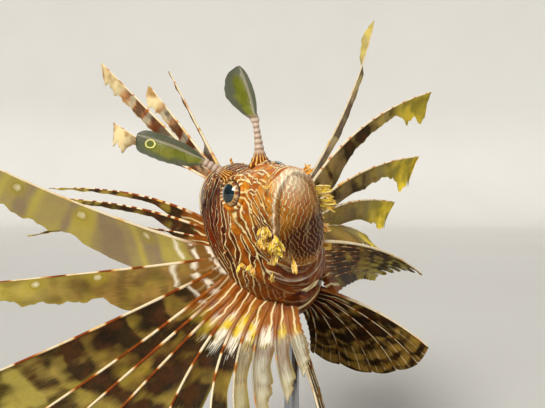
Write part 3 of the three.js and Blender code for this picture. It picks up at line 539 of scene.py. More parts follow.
def skin_values(points, normal, ring, along, on_trunk):
    """Values that the skin's material reads at each point."""
    y, z = points[..., 1], points[..., 2]
    below = mouth_height(y) - z
    ahead = 1 - on_trunk
    above_lip = lerp(0.050, 0.012, smoothstep(y, 0.08, 0.28))
    jaw = smoothstep(below + above_lip, -0.010, 0.004) * (1 - smoothstep(y, 0.33, 0.40))
    lip = bump(below + 0.014, 0.0065) * (1 - smoothstep(y, 0.30, 0.38))
    # Painted shade: a dark line along the mouth's groove, where the gap between the jaws lies in shade
    painted_mouth_shade = (1 - smoothstep(y, MOUTH_CORNER[0], MOUTH_CORNER[0] + 0.04)) * bump(below, 0.004)
    opercle = np.hypot((y - 0.74) / 0.17, (z - 0.13) / 0.20)
    lower_cover = np.hypot((y - 0.76) / 0.14, (z + 0.10) / 0.16)
    chin = np.linalg.norm(points * np.array([0.7, 1, 1]) - np.array([0.015, 0.22, -0.235]), axis=-1)
    throat = smoothstep(-z, 0.20, 0.30) * smoothstep(y, 0.36, 0.43)
    arcs = throat * (bump(y - 0.437, 0.0045) + bump(y - 0.527, 0.0055))
    cheek = smoothstep(y, 0.30, 0.50)
    # The dark on the lower rear of the jaw is partly the fish's own colour and partly painted shade where
    # the jaw's bulge turns away below; the gill cover's dark patch is its own colour
    dark = 1.3 * bump(opercle, 1.0) + 1.45 * bump(chin, 0.145) + 0.6 * throat
    # The pale wash on the front of the jaw is partly its own pale lines and partly a painted highlight on
    # the top of the jaw's bulge; the throat's arcs and the lip's line are its own pale marks
    pale = 1.6 * arcs + 1.2 * jaw * bump(y + 0.02, 0.058) + 1.3 * lip
    return {
        "line_dir": line_field(points, normal, ring, along),
        "line_gap": 4.2 + 1.6 * cheek - 0.9 * bump(opercle, 0.8) + 0.8 * on_trunk,
        "core": 0.36 + 0.16 * bump(opercle, 1.0) + 0.10 * throat,
        "fine": bump(opercle, 1.0) * ahead,
        "maze": jaw * ahead,
        "dark": np.clip(dark, 0, 1) * ahead,
        "throat": throat * ahead,
        "olive": bump(lower_cover, 1.0) * ahead,
        "amber": smoothstep(z, -0.16, 0.10) * (1 - smoothstep(y, 0.42, 0.66)) * ahead,
        "pale": np.clip(pale, 0, 1) * ahead,
        "groove": painted_mouth_shade,
        "trunk": on_trunk,
        "bar": y + 0.10 * z * np.abs(z) + 0.02 * wobble(points, 0.35, 21),
        "belly": smoothstep(-z, 0.28, 0.44) * smoothstep(y, 0.9, 1.2),
    }


@functools.cache
def skin_grid():
    """Points of the skin, their share of trunk, and their three directions."""
    points, on_trunk = skin_points()
    normal, ring, along = grid_normals(points)
    along = unit(along - (along * ring).sum(-1, keepdims=True) * ring)
    return points, on_trunk, normal, ring, along


def spot_on_skin(place_at):
    """The skin's point nearest to a place, with its outward and backward directions."""
    points, _, normal, _, along = skin_grid()
    gap = ((points - np.array(place_at)) ** 2).sum(-1)
    row, column = np.unravel_index(np.argmin(gap), gap.shape)
    outward = normal[row, column]
    middle = points[row].mean(axis=0)
    outward = outward * np.sign((points[row, column] - middle) @ outward)
    return points[row, column], outward, along[row, column]


def make_skin():
    """The skin's mesh, closed at the lip and at the end of the tail stalk."""
    points, on_trunk, normal, ring, along = skin_grid()
    skin = Patchwork()
    end = points[-1].mean(axis=0)
    values = skin_values(points, normal, ring, along, on_trunk)
    skin.add(points, tips=(np.array([0.0, -0.002, 0.0]), end), **values)
    return skin.build("skin")


def make_lids():
    """Fleshy ring round each eye: a tube whose thickness varies a little, carried round a
    circle that stands square to the eye's aim."""
    lids = Patchwork()
    turn, tube = full_turn(LID_ROWS)[:, None], full_turn(LID_SIDES)[None, :]
    for side in (-1, 1):
        aim, ahead, upward = eye_frame(side)
        outward = circle(turn, ahead, upward)
        thick = LID_TUBE * (1 + 0.08 * np.sin(5 * turn) + 0.05 * np.sin(13 * turn + 1.0))
        ring = LID_RADIUS + thick * np.cos(tube)
        rise = LID_HEIGHT + 1.15 * thick * np.sin(tube)
        points = eye_centre(side) + ring[..., None] * outward + rise[..., None] * aim
        normal = circle(tube, outward, aim)
        around = unit(np.cross(np.broadcast_to(aim, outward.shape), outward))
        around = np.broadcast_to(around, points.shape)
        along = np.cross(normal, around)
        values = skin_values(points, normal, around, along, np.zeros(points.shape[:2]))
        dark = 0.10 + 0.5 * bump(np.sin(turn) - 0.9, 0.5)
        values.update(line_dir=around @ POSE.T, line_gap=4.6, maze=0.0, amber=1.0, dark=dark)
        lids.add(points, loop=True, **values)
    return lids.build("eyelids")


def make_eye(side):
    """Eyeball whose polar axis is the eye's aim: a sphere with a low bulge of the cornea
    about that axis."""
    aim, ahead, upward = eye_frame(side)
    polar = np.linspace(0.02, math.pi - 0.05, EYE_ROWS)[:, None]
    spin = full_turn(EYE_COLUMNS)[None, :]
    radius = EYE_RADIUS * (1 + CORNEA_BULGE * bump(polar, 0.75))
    points = eye_centre(side) + radius[..., None] * circle(polar, aim, circle(spin, ahead, upward))
    spokes = np.stack(np.broadcast_arrays(np.cos(spin), np.sin(spin), 0.0 * polar), -1)
    front = eye_centre(side) + aim * EYE_RADIUS * (1 + CORNEA_BULGE)
    ends = (front, eye_centre(side) - aim * EYE_RADIUS)
    eye = Patchwork()
    eye.add(points, tips=ends, polar=np.degrees(polar), spokes=spokes)
    return eye.build(f"eyeball_{SIDES[side]}")


# The fins. A table's rows are a place from 0 to 1, over the fin's rays or along a ray, and a
# value there. Outside its rows the end value holds, and a plain number holds everywhere.
# Angles are in degrees, lengths and widths in head lengths, radii in millimetres. rise and
# forward are a ray's direction at its root and its tip, and so are lean and tilt on the back
# line. width is the free part of the web, times width_along, and flag_width comes on top
# near the tip. thick is times the shaft's radius. join is how far out the web reaches the
# next ray. turn and twist are of the free part about its ray, ruffle is the height of its
# waves in millimetres, and flag says how ragged and curled its tip is. bands, dark, bright,
# arcs, flesh, frost, ashen and pale_share are for the materials. ocelli are ringed spots:
# ray, place along it and beside it
PLAIN_FIN = {
    "tip_radius": 0.2,
    "width_along": 1,
    "flag_width": 0,
    "thick": 1,
    "turn": 0,
    "twist": 0,
    "flag": 0.1,
    "bands": 1,
    "dark": 1,
    "bright": 0,
    "arcs": 0,
    "frost": 0,
    "ashen": 0,
    "ocelli": [],
}
RIGHT_PECTORAL = {
    **PLAIN_FIN,
    "rays": 15,
    "root_radius": 0.85,
    "tip_radius": 0.26,
    "roots": [[0, 0.19, 1.00, 0.22], [0.21, 0.22, 0.95, 0.02], [1, 0.12, 0.74, -0.42]],
    "rise_root": [
        [0, 72], [0.14, 60], [0.21, 48], [0.29, 23], [0.36, 2],
        [0.43, -9], [0.71, -14], [0.86, -24], [1, -57],
    ],
    "rise_tip": [
        [0, 38], [0.07, 40], [0.14, 22], [0.21, 59], [0.29, 23],
        [0.36, 7], [0.57, -18], [0.71, -70], [1, -80],
    ],
    "forward_root": [[0, -41], [0.14, -38], [0.21, 0], [0.29, -4], [0.36, 8], [0.5, 12], [1, 11]],
    "forward_tip": [[0, -30], [0.14, -22], [0.21, 15], [0.29, 7], [0.36, 18], [0.64, 18], [1, 11]],
    "length": [
        [0, 1.46], [0.14, 1.36], [0.21, 1.6], [0.29, 1.3],
        [0.36, 1.5], [0.57, 1.3], [0.71, 0.92], [1, 0.34],
    ],
    "width": [[0, 0.028], [0.14, 0.036], [0.21, 0.17], [0.5, 0.16], [0.7, 0.12], [1, 0.07]],
    "width_along": [[0, 0.6], [0.36, 0.8], [0.56, 1], [0.76, 0.85], [0.9, 0.45], [1, 0.08]],
    "thick": [[0.3, 0.8], [0.4, 0.9], [0.7, 0.8], [1, 0.7]],
    "bands": [[0.16, 1.3], [0.2, 1], [0.29, 0.5], [0.36, 0.55], [1, 0.7]],
    "ashen": [[0.15, 0], [0.2, 1], [0.23, 1], [0.28, 0.15], [0.4, 0]],
    "join": [
        [0.12, 0.20], [0.143, 0.12], [0.17, 0.34], [0.3, 0.36],
        [0.35, 0.74], [0.5, 0.74], [0.7, 0.5], [1, 0.4],
    ],
    "ruffle": 0.5,
    "flag": 0.2,
    "dark": [[0.15, 1], [0.2, 0.02], [0.29, 0.28], [0.35, 0.95], [0.7, 1], [0.85, 0.7], [1, 0.3]],
    # bright is the weight of the painted highlight on the webs of the lower rays
    "bright": [[0.45, 0], [0.57, 0.45], [0.65, 1], [0.86, 1], [1, 0.3]],
    "arcs": [[0.2, 0], [0.21, 1], [0.37, 0.8], [0.5, 0]],
    "flesh": [[0, 0.12], [0.3, 0.15], [0.45, 0.24], [0.75, 0.36], [1, 0.42]],
    "frost": [[0.72, 0], [0.85, 0.9], [1, 1]],
    "pale_share": [
        [0.15, 0.5], [0.2, 1.2], [0.22, 1.2], [0.28, 0.62],
        [0.36, 0.48], [0.6, 0.45], [0.75, 0.85], [1, 1.1],
    ],
    "ocelli": [(3, 0.27, 0.45), (3, 0.47, 0.5), (3, 0.68, 0.45), (4, 0.50, 0.35), (4, 0.72, 0.4)],
}
LEFT_PECTORAL = {
    **PLAIN_FIN,
    "rays": 15,
    "root_radius": 0.85,
    "tip_radius": 0.26,
    "roots": RIGHT_PECTORAL["roots"],
    "rise_root": [[0, 30], [0.14, 24], [0.21, 23], [0.29, 30], [0.36, 16], [0.5, 6], [0.57, -19], [1, -2]],
    "rise_tip": [
        [0, 20], [0.14, 18], [0.21, 44], [0.29, -10], [0.36, -16],
        [0.43, -28], [0.5, -42], [0.57, -51], [1, -34],
    ],
    "forward_root": [
        [0, -62], [0.14, -58], [0.21, -11], [0.29, -12],
        [0.36, -22], [0.5, -40], [0.57, -31], [1, -46],
    ],
    "forward_tip": [
        [0, -66], [0.14, -62], [0.21, -7], [0.29, -13],
        [0.36, -22], [0.5, -43], [0.57, -40], [1, -48],
    ],
    "length": [
        [0, 1.2], [0.14, 1.3], [0.21, 1.79], [0.29, 1.66], [0.36, 1.37],
        [0.5, 0.91], [0.57, 1.33], [0.86, 1.04], [1, 0.84],
    ],
    "width": [
        [0.14, 0.03], [0.21, 0.030], [0.29, 0.080],
        [0.36, 0.12], [0.43, 0.19], [0.5, 0.19], [0.57, 0.06], [1, 0.05],
    ],
    "width_along": [[0, 1.3], [0.4, 1.1], [0.6, 0.85], [0.75, 0.8]],
    "flag_width": [
        [0.15, 0], [0.21, 0.016], [0.29, 0.095],
        [0.36, 0.09], [0.43, 0.02], [0.5, 0.0], [0.56, 0],
    ],
    "thick": [[0.21, 0.8], [0.3, 1], [0.5, 0.9], [0.57, 1.2], [0.62, 0.3]],
    "ashen": [[0, 0], [0.2, 0.2], [0.22, 0.6], [0.28, 0.4], [0.5, 0.2], [0.56, 0]],
    "join": [
        [0.12, 0.30], [0.143, 0.14], [0.17, 0.30], [0.22, 0.22],
        [0.37, 0.34], [0.42, 0.52], [0.5, 0.40], [0.56, 0.86],
    ],
    "twist": [
        [0.15, 0], [0.214, 165], [0.286, 35], [0.357, 25],
        [0.43, 20], [0.5, 30], [0.56, 0],
    ],
    "ruffle": 0.8,
    "flag": [[0.15, 0.2], [0.21, 0.6], [0.29, 1], [0.5, 1], [0.56, 0.1]],
    "dark": [[0.23, 0.7], [0.29, 0.5], [0.36, 0.5], [0.43, 0.25], [0.5, 0.2], [0.56, 1]],
    "flesh": [[0, 0.12], [1, 0.14]],
    "frost": [[0, 0], [0.2, 0.2], [0.22, 0.3], [0.28, 0]],
    "pale_share": [[0, 0.5], [0.2, 1.15], [0.27, 0.95], [0.5, 0.95], [0.57, 1.15], [0.62, 0.1]],
}
LEFT_PELVIC = {
    **PLAIN_FIN,
    "rays": 6,
    "root_radius": 0.75,
    "roots": [[0, 0.12, 0.87, -0.44], [1, 0.06, 1.06, -0.46]],
    "rise_root": [[0, -48], [0.7, -62], [1, -80]],
    "rise_tip": [[0, -69], [0.7, -94], [1, -116]],
    "forward_root": [[0, -1], [0.4, -12], [1, -46]],
    "forward_tip": [[0, -12], [0.4, -34], [1, -60]],
    "length": [[0, 0.70], [0.2, 0.77], [0.6, 0.77], [1, 0.54]],
    "width": 0.05,
    "width_along": [[0, 1], [1, 0.5]],
    "thick": [[0, 1], [0.15, 0.6], [1, 0.55]],
    "bands": 0.8,
    "join": 0.97,
    "ruffle": 0.3,
    "flesh": [[0, 0.24], [1, 0.30]],
    "pale_share": [[0, 1.1], [0.15, 0.85]],
}
RIGHT_PELVIC = {
    **LEFT_PELVIC,
    "rise_root": [[0, -82], [1, -100]],
    "rise_tip": [[0, -64], [1, -84]],
    "forward_root": [[0, 5], [0.4, -15], [1, -40]],
    "forward_tip": [[0, -1], [0.4, -21], [1, -52]],
    "length": [[0.4, 0.82], [1, 0.55]],
}
SPINY_DORSAL = {
    **PLAIN_FIN,
    "rays": 13,
    "reach": (0.86, 1.80),
    "angle": 0.0,
    "root_radius": 0.9,
    "lean_root": [[0, -1], [0.08, 13], [0.17, 14], [0.25, 36], [0.34, 60], [0.5, 68], [1, 70]],
    "lean_tip": [[0, -6], [0.08, 16], [0.17, 11], [0.25, 28], [0.34, 64], [0.5, 73], [1, 75]],
    "tilt": [[0, -4], [0.08, 1], [0.17, 9], [0.25, 14], [0.34, -12]],
    "length": [[0, 0.70], [0.08, 0.84], [0.17, 1.22], [0.25, 1.13], [0.5, 0.98], [0.8, 0.75], [1, 0.5]],
    "width": [[0, 0.02], [0.08, 0.056], [0.17, 0.072], [0.25, 0.05], [0.34, 0.06], [1, 0.05]],
    "width_along": [[0.8, 1], [1, 0.9]],
    "flag_width": [[0, 0], [0.08, 0.02], [0.17, 0.015], [0.25, 0.075], [0.34, 0]],
    "thick": 0.9,
    "bands": 0.8,
    "join": [[0, 0.22], [1, 0.26]],
    "turn": [[0.1, 0], [0.167, 45], [0.25, 40], [0.3, 0]],
    "twist": [[0.17, 0], [0.25, 65], [0.3, 0]],
    "ruffle": 0.4,
    "flag": [[0, 0.2], [0.08, 0.9], [0.4, 0.9], [1, 0.5]],
    "dark": [[0, 0.5], [0.4, 0.3], [1, 0.7]],
    "flesh": 0.14,
    "pale_share": [[0, 1.0], [0.3, 0.9], [0.34, 0.72], [1, 0.6]],
}
SOFT_DORSAL = {
    **PLAIN_FIN,
    "rays": 10,
    "reach": (2.00, 2.38),
    "angle": 0.0,
    "root_radius": 0.6,
    "lean_root": [[0, 32], [1, 58]],
    "lean_tip": [[0, 50], [1, 74]],
    "tilt": 0,
    "length": [[0, 0.58], [0.3, 0.68], [1, 0.46]],
    "width": 0.03,
    "join": 0.88,
    "ruffle": 0.2,
    "flesh": 0.1,
    "pale_share": 0.5,
}
ANAL_FIN = {
    **SOFT_DORSAL,
    "reach": (1.72, 2.28),
    "angle": math.pi,
    "lean_root": [[0, 24], [1, 52]],
    "lean_tip": [[0, 36], [1, 70]],
    "length": [[0, 0.3], [0.22, 0.46], [0.5, 0.66], [1, 0.48]],
}
TAIL_FIN = {
    **SOFT_DORSAL,
    "rays": 12,
    "back": 2.54,
    "height": 0.01,
    "root_reach": 0.13,
    "root_fan": 30,
    "tip_fan": 18,
    "middle_length": 0.9,
    "edge_shorter": 0.12,
}
# Each fin's name, table, side if it is one of a pair, web, slot and solid
FINS = [
    ("pectoral_right", RIGHT_PECTORAL, -1, "pectoral", "fin", "pectoral_fin_right"),
    ("pectoral_left", LEFT_PECTORAL, 1, "pectoral", "fin", "pectoral_fin_left"),
    ("pelvic_right", RIGHT_PELVIC, -1, "pelvic", "dark_fin", "pelvic_fin_right"),
    ("pelvic_left", LEFT_PELVIC, 1, "pelvic", "dark_fin", "pelvic_fin_left"),
    ("dorsal", SPINY_DORSAL, None, "dorsal", "fin", "dorsal_spines"),
    ("soft_dorsal", SOFT_DORSAL, None, "clear", "clear_fin", "soft_dorsal_fin"),
    ("anal", ANAL_FIN, None, "clear", "clear_fin", "anal_fin"),
    ("tail", TAIL_FIN, None, "clear", "clear_fin", "tail_fin"),
]
FIN_SEED = 100
# Median fins start inside the body, at this share of its half height
FIN_SINK = 0.84
# Share of the room to the next ray that a free ribbon may fill
FREE_SHARE = 0.86
# Half thickness of a web at its fleshy root and beyond, and where the flesh ends
FLESH_HALF = 1.2 * MM
SHEET_HALF = 0.11 * MM
FLESH_END = 0.16
SHAFT_VALUES = ("pale_share", "flesh", "frost")
WEB_VALUES = ("dark", "bright", "arcs", "flesh", "frost", "ashen")
RAY_ROWS = 72
PATH_STEPS = 24
WEB_COLUMNS = 12
SHAFT_SIDES = 10
# Length of a joint of a ray in millimetres
RAY_JOINT = 1.3


def ray_direction(rise, forward, side):
    """Direction at an angle up from sideways, then an angle forwards."""
    rise, forward = np.radians(rise), np.radians(forward)
    outward = side * np.cos(forward) * np.cos(rise)
    return np.stack([outward, -np.sin(forward), np.cos(forward) * np.sin(rise)], -1)


def turning_paths(root, start, end, length, stops):
    """Paths that turn evenly from one direction to another: (rays, stops, 3)."""
    share = (np.arange(PATH_STEPS) + 0.5)[None, :, None] / PATH_STEPS
    heading = unit(lerp(start[:, None], end[:, None], share))
    walk = np.cumsum(heading, axis=1) * (length / PATH_STEPS)[:, None, None]
    path = np.concatenate([root[:, None], root[:, None] + walk], axis=1)
    at = np.asarray(stops) * PATH_STEPS
    i = np.minimum(at.astype(int), PATH_STEPS - 1)
    return lerp(path[:, i], path[:, i + 1], (at - i)[None, :, None])


def paired_rays(fin, side, stops):
    """Paths of a paired fin's rays, from the knots that say how they change over the fin."""
    u = np.linspace(0, 1, fin["rays"])
    root = curve(fin["roots"], u)
    root = np.stack([side * root[:, 0] + bend_at(root[:, 1]), root[:, 1], root[:, 2]], -1)
    start = ray_direction(knots(fin["rise_root"], u), knots(fin["forward_root"], u), side)
    end = ray_direction(knots(fin["rise_tip"], u), knots(fin["forward_tip"], u), side)
    return turning_paths(root, start, end, knots(fin["length"], u), stops)


def median_rays(fin, stops):
    """Paths of the rays of a fin on the back or belly line."""
    u = np.linspace(0, 1, fin["rays"])
    root = body_point(lerp(*fin["reach"], u), fin["angle"], FIN_SINK)
    up = 1 if fin["angle"] == 0 else -1
    tilt = np.radians(knots(fin["tilt"], u))

    def lean(rows):
        angle = np.radians(knots(rows, u))
        upright = np.cos(tilt)
        return np.stack([-np.sin(tilt), upright * np.sin(angle), up * upright * np.cos(angle)], -1)

    start, end = lean(fin["lean_root"]), lean(fin["lean_tip"])
    return turning_paths(root, start, end, knots(fin["length"], u), stops)


def tail_rays(fin, stops):
    """Paths of the tail fin's rays, fanned up and down from the end of the stalk."""
    u = np.linspace(-1, 1, fin["rays"])
    swing = 2 * BEND_CURVE * (fin["back"] - BEND_START)
    back = np.full_like(u, fin["back"])
    root = np.stack([bend_at(back), back, fin["height"] + fin["root_reach"] * u], -1)

    def aim(fan):
        angle = np.radians(fan * u)
        return unit(np.stack([swing * np.cos(angle), np.cos(angle), np.sin(angle)], -1))

    length = fin["middle_length"] - fin["edge_shorter"] * u * u
    return turning_paths(root, aim(fin["root_fan"]), aim(fin["tip_fan"]), length, stops)


def fin_rays(fin, side, stops):
    """Paths of any fin's rays: (rays, stops, 3)."""
    if side is not None:
        return paired_rays(fin, side, stops)
    return tail_rays(fin, stops) if fin is TAIL_FIN else median_rays(fin, stops)


def ray_frames(path):
    """At each point of each ray: the way along it, the way across to the next ray, the
    way square to both, the room to the next ray and the step that leads to it."""
    tangent = unit(np.gradient(path, axis=1))
    towards = np.concatenate([path[1:] - path[:-1], path[-1:] - path[-2:-1]])
    across = towards - (towards * tangent).sum(-1, keepdims=True) * tangent
    room = np.linalg.norm(across, axis=-1)
    across = unit(across)
    return tangent, across, np.cross(tangent, across), room, towards


def free_width(fin, u, t, phase, flag, room):
    """Width of the free ribbon beyond the join: its own width with notches from two sine
    waves, rounded off at the tip, and no more than the room to the next ray."""
    notches = np.sin(t * 61 + phase) * 0.6 + np.sin(t * 143 + 2 * phase) * 0.4
    ragged = 1 + (0.08 + 0.22 * flag) * notches
    opened = smoothstep(t, 0.74, 0.86)
    rounded = np.sqrt(np.clip(1 - smoothstep(t, 0.89, 1.005) ** 2, 0.01, 1))
    own = knots(fin["width"], u) * knots(fin["width_along"], t) + knots(fin["flag_width"], u) * opened
    return np.minimum(own * ragged * rounded, room)


def make_fin(name, fin, side, seed):
    """Shafts and webs of one fin. A shaft is a tapering tube along its ray. A web is a thin
    sheet from the shaft to the next ray up to the join, and beyond it a free ribbon whose
    edge is ragged, which turns about its ray by the twist, curls and waves near the tip."""
    stops = np.linspace(0, 1, RAY_ROWS)
    path = fin_rays(fin, side, stops)
    tangent, across, normal, room, towards = ray_frames(path)
    count = len(path)
    u = np.linspace(0, 1, count)[:, None]
    t = stops[None, :]
    length = np.linalg.norm(np.diff(path, axis=1), axis=-1).sum(axis=1)[:, None]
    phase = np.random.default_rng(seed).uniform(0, 2 * math.pi, (count, 1))
    along = (t * length / MM)[..., None]
    by_ray = {key: knots(fin[key], u)[..., None] for key in SHAFT_VALUES + WEB_VALUES}
    shared = {"share": t[..., None], "ray": phase[..., None]}

    shaft = lerp(fin["root_radius"], fin["tip_radius"], t**0.7) * MM * np.ones_like(u)
    joints = 1 + 0.04 * np.sin(t * length / MM * 2 * math.pi / RAY_JOINT)
    closing = 1 - 0.75 * smoothstep(t, 0.97, 1.0)
    radius = (shaft * joints * closing * knots(fin["thick"], u))[..., None, None]
    turn = full_turn(SHAFT_SIDES)[None, None, :]
    tubes = path[:, :, None] + radius * circle(turn, across[:, :, None], normal[:, :, None])
    shafts = Patchwork()
    shafts.add(
        tubes, capped=True, along=along * knots(fin["bands"], u)[..., None], **shared,
        **{key: by_ray[key] for key in SHAFT_VALUES},
    )

    flag = knots(fin["flag"], u)
    near_tip = smoothstep(t, 0.70, 0.86)
    widest = np.maximum(FREE_SHARE * room - 2 * shaft - 0.3 * MM, 0.15 * MM)
    widest[-1] = np.inf
    width = free_width(fin, u, t, phase, flag * near_tip, widest)
    join = knots(fin["join"], u)
    web = 1 - smoothstep(t, join, join + 0.14)
    web[-1] = 0.0
    twist = knots(fin["turn"], u) * smoothstep(t, 0.2, 0.5)
    twist = np.radians(twist + knots(fin["twist"], u) * smoothstep(t, 0.66, 0.86))[..., None]
    turned = np.cos(twist) * across + np.sin(twist) * normal
    facing = np.cos(twist) * normal - np.sin(twist) * across
    reach = lerp(turned * (shaft + width)[..., None], towards, web[..., None])

    s, face = sheet_columns(0, WEB_COLUMNS)
    half = lerp(FLESH_HALF, SHEET_HALF, smoothstep(t, 0.0, FLESH_END))[..., None] * (1 - 0.6 * s**3)
    span = np.linalg.norm(reach, axis=-1)[..., None]
    loose = (1 - web)[..., None]
    curled = (flag * near_tip)[..., None] * loose
    wave = np.sin(t[..., None] * 46 + 2 * phase[..., None] + 2.2 * s) * smoothstep(t, 0.4, 1.0)[..., None]
    lift = -0.10 * span * np.sin(math.pi * s) * web[..., None]
    lift = lift + fin["ruffle"] * MM * wave * s * loose
    lift = lift - 0.45 * curled * span * s**2
    frayed = (0.5 + 0.5 * np.sin(9 * s + phase[..., None])) * s * smoothstep(t, 0.86, 1.0)[..., None]
    slip = -2.2 * MM * flag[..., None] * frayed * loose
    sheet = path[:, :, None] + s[..., None] * reach[:, :, None] + slip[..., None] * tangent[:, :, None]
    sheet = sheet + facing[:, :, None] * (lift + face * half)[..., None]
    spot = np.full(sheet.shape[:-1], 9.0)
    for ray, share, beside in fin["ocelli"]:
        ahead = (t[..., None] - share) * length[..., None]
        away = np.hypot(ahead, s * span - beside * 0.10) / MM
        spot[ray] = np.minimum(spot[ray], away[ray])
    webs = Patchwork()
    webs.add(
        sheet, capped=True, along=along, across=s, beside=s * span / MM, spot=spot, flag=curled,
        **shared, **{key: by_ray[key] for key in WEB_VALUES},
    )
    return shafts.build(f"{name}_rays"), webs.build(f"{name}_webs", sharp=60)


# Tentacle over each eye: how it turns, and in millimetres its half width and half depth
TENTACLES = {
    -1: {
        "rise": (66, 47), "forward": (4, -8), "length": 0.475, "stalk_end": 0.30, "beads": 6,
        "lean": -0.40, "ocellus": 1.0, "sink": 0.0,
        "half_width": [
            [0, 2.5], [0.1, 1.4], [0.26, 1.15], [0.32, 1.5], [0.42, 2.9],
            [0.55, 3.9], [0.7, 4.2], [0.88, 3.9], [1, 3.3],
        ],
    },
    1: {
        "rise": (60, 77), "forward": (4, -8), "length": 0.56, "stalk_end": 0.46, "beads": 9,
        "lean": -0.60, "ocellus": 0.0, "sink": 2.0,
        "half_width": [
            [0, 3.9], [0.07, 2.6], [0.13, 1.7], [0.20, 1.3], [0.38, 0.95], [0.45, 1.5],
            [0.56, 3.4], [0.70, 4.8], [0.84, 4.2], [0.94, 3.0], [1, 2.0],
        ],
    },
}
TENTACLE_ROWS, TENTACLE_SIDES = 170, 48
TENTACLE_DEPTH = [[0, 2.5], [0.12, 1.35], [0.3, 1.0], [0.45, 0.6], [0.6, 0.36], [1, 0.2]]


def make_tentacle(side):
    """Ringed stalk that opens into a leaf: a flattened tube whose half width and depth
    follow their knots, rounded off at the tip, with a bead for each ring of the stalk and
    a raised midrib. The leaf leans to one side of its path by a share of its half width."""
    shape = TENTACLES[side]
    stops = 1 - (1 - np.linspace(0, 1, TENTACLE_ROWS)) ** 1.15
    start = ray_direction(shape["rise"][0], shape["forward"][0], side)[None]
    root = BROW_PEAK * np.array([side, 1, 1]) - shape["sink"] * MM * start
    end = ray_direction(shape["rise"][1], shape["forward"][1], side)[None]
    path = turning_paths(root, start, end, np.array([shape["length"]]), stops)[0]
    tangent = unit(np.gradient(path, axis=0))
    across = unit(np.cross(tangent, np.array([0.0, -1.0, 0.0])))
    depth = np.cross(across, tangent)
    t = stops[:, None]
    turn = full_turn(TENTACLE_SIDES)[None, :]
    end = shape["stalk_end"]
    stalk = 1 - smoothstep(t, end - 0.03, end + 0.04)
    leaf = 1 - stalk
    bead = 0.34 * stalk * (np.abs(np.sin(math.pi * t / end * shape["beads"])) ** 0.7 - 0.5)
    rounding = np.sqrt(np.clip(1 - smoothstep(t, 0.90, 1.01) ** 2, 0.02, 1))
    half_width = curve(shape["half_width"], stops) * rounding
    half_width = half_width * (1 + 0.012 * leaf * np.sin(t * 66)) + bead
    rib = leaf * 0.26 * bump(np.cos(turn) + shape["lean"], 0.16)
    rim = lerp(1.0, np.abs(np.sin(turn)) ** 0.4, leaf)
    half_depth = knots(TENTACLE_DEPTH, stops)[:, None] * rim + bead + rib
    bow = leaf * (0.6 * np.cos(turn) ** 2 + 0.12 * np.sin(t * 20 + 3 * np.cos(turn)))
    wide = (np.cos(turn) + shape["lean"] * leaf) * half_width * MM
    deep = (-np.sin(turn) * half_depth + bow) * MM
    points = path[:, None] + wide[..., None] * across[:, None] + deep[..., None] * depth[:, None]
    beads = np.cos(2 * math.pi * t / end * shape["beads"])
    piece = Patchwork()
    piece.add(
        points, capped=True, share=t, across=np.cos(turn), stalk=stalk, beads=beads,
        midrib=np.cos(turn) + shape["lean"], ocellus=shape["ocellus"], leaf_share=(t - end) / (1 - end),
    )
    return piece.build(f"brow_tentacle_{SIDES[side]}")


# Ragged flaps of skin: place on the skin, angles up and forwards, number, reach and width in
# millimetres, spread in degrees, and how orange they are from 0 to 1
Tuft = collections.namedtuple("Tuft", "at rise forward count reach wide spread hue")
FRINGES = [
    Tuft((-0.150, 0.225, -0.095), -60, 20, 14, 3.0, 1.2, 80, 0.2),
    Tuft((-0.150, 0.265, -0.125), -65, 15, 14, 3.0, 1.3, 80, 0.3),
    Tuft((-0.140, 0.250, -0.150), -70, 20, 14, 3.2, 1.3, 70, 0.1),
    Tuft((-0.128, 0.275, -0.172), -80, 10, 9, 3.6, 1.2, 40, 0.0),
    Tuft((0.140, 0.210, -0.075), -25, 12, 26, 3.8, 1.1, 90, 0.0),
    Tuft((0.130, 0.230, -0.120), -40, 10, 20, 3.8, 1.1, 80, 0.1),
    Tuft((0.076, 0.050, -0.014), 30, 25, 14, 1.9, 0.8, 110, 0.9),
    Tuft((-0.083, 0.065, 0.012), 50, 20, 5, 1.6, 0.8, 70, 0.8),
    Tuft((-0.148, 0.363, -0.218), -60, 25, 6, 2.6, 1.1, 70, 0.1),
    Tuft((-0.088, 0.302, -0.255), -80, 10, 2, 4.6, 1.4, 20, 0.4),
    Tuft((0.070, 0.819, 0.380), 70, 10, 5, 1.8, 0.9, 60, 0.9),
]
for mirror in (-1, 1):
    FRINGES += [
        Tuft((mirror * 0.193, 0.560, -0.175), -55, 30, 7, 3.4, 1.5, 80, 0.0),
        Tuft((mirror * 0.214, 0.602, -0.135), -60, 30, 4, 2.4, 1.2, 60, 0.2),
        Tuft((mirror * 0.150, 0.520, -0.265), -65, 30, 4, 2.6, 1.2, 50, 0.5),
    ]
FRINGE_SEED = 40
FRINGE_ROWS, FRINGE_COLUMNS = 14, 7
FRINGE_HALF = 0.09 * MM
# Spread in degrees of the flaps of a tuft, forwards and back
FRINGE_TILT = 50
# How far a flap or a thorn starts under the skin
ROOT_SINK = 0.9 * MM


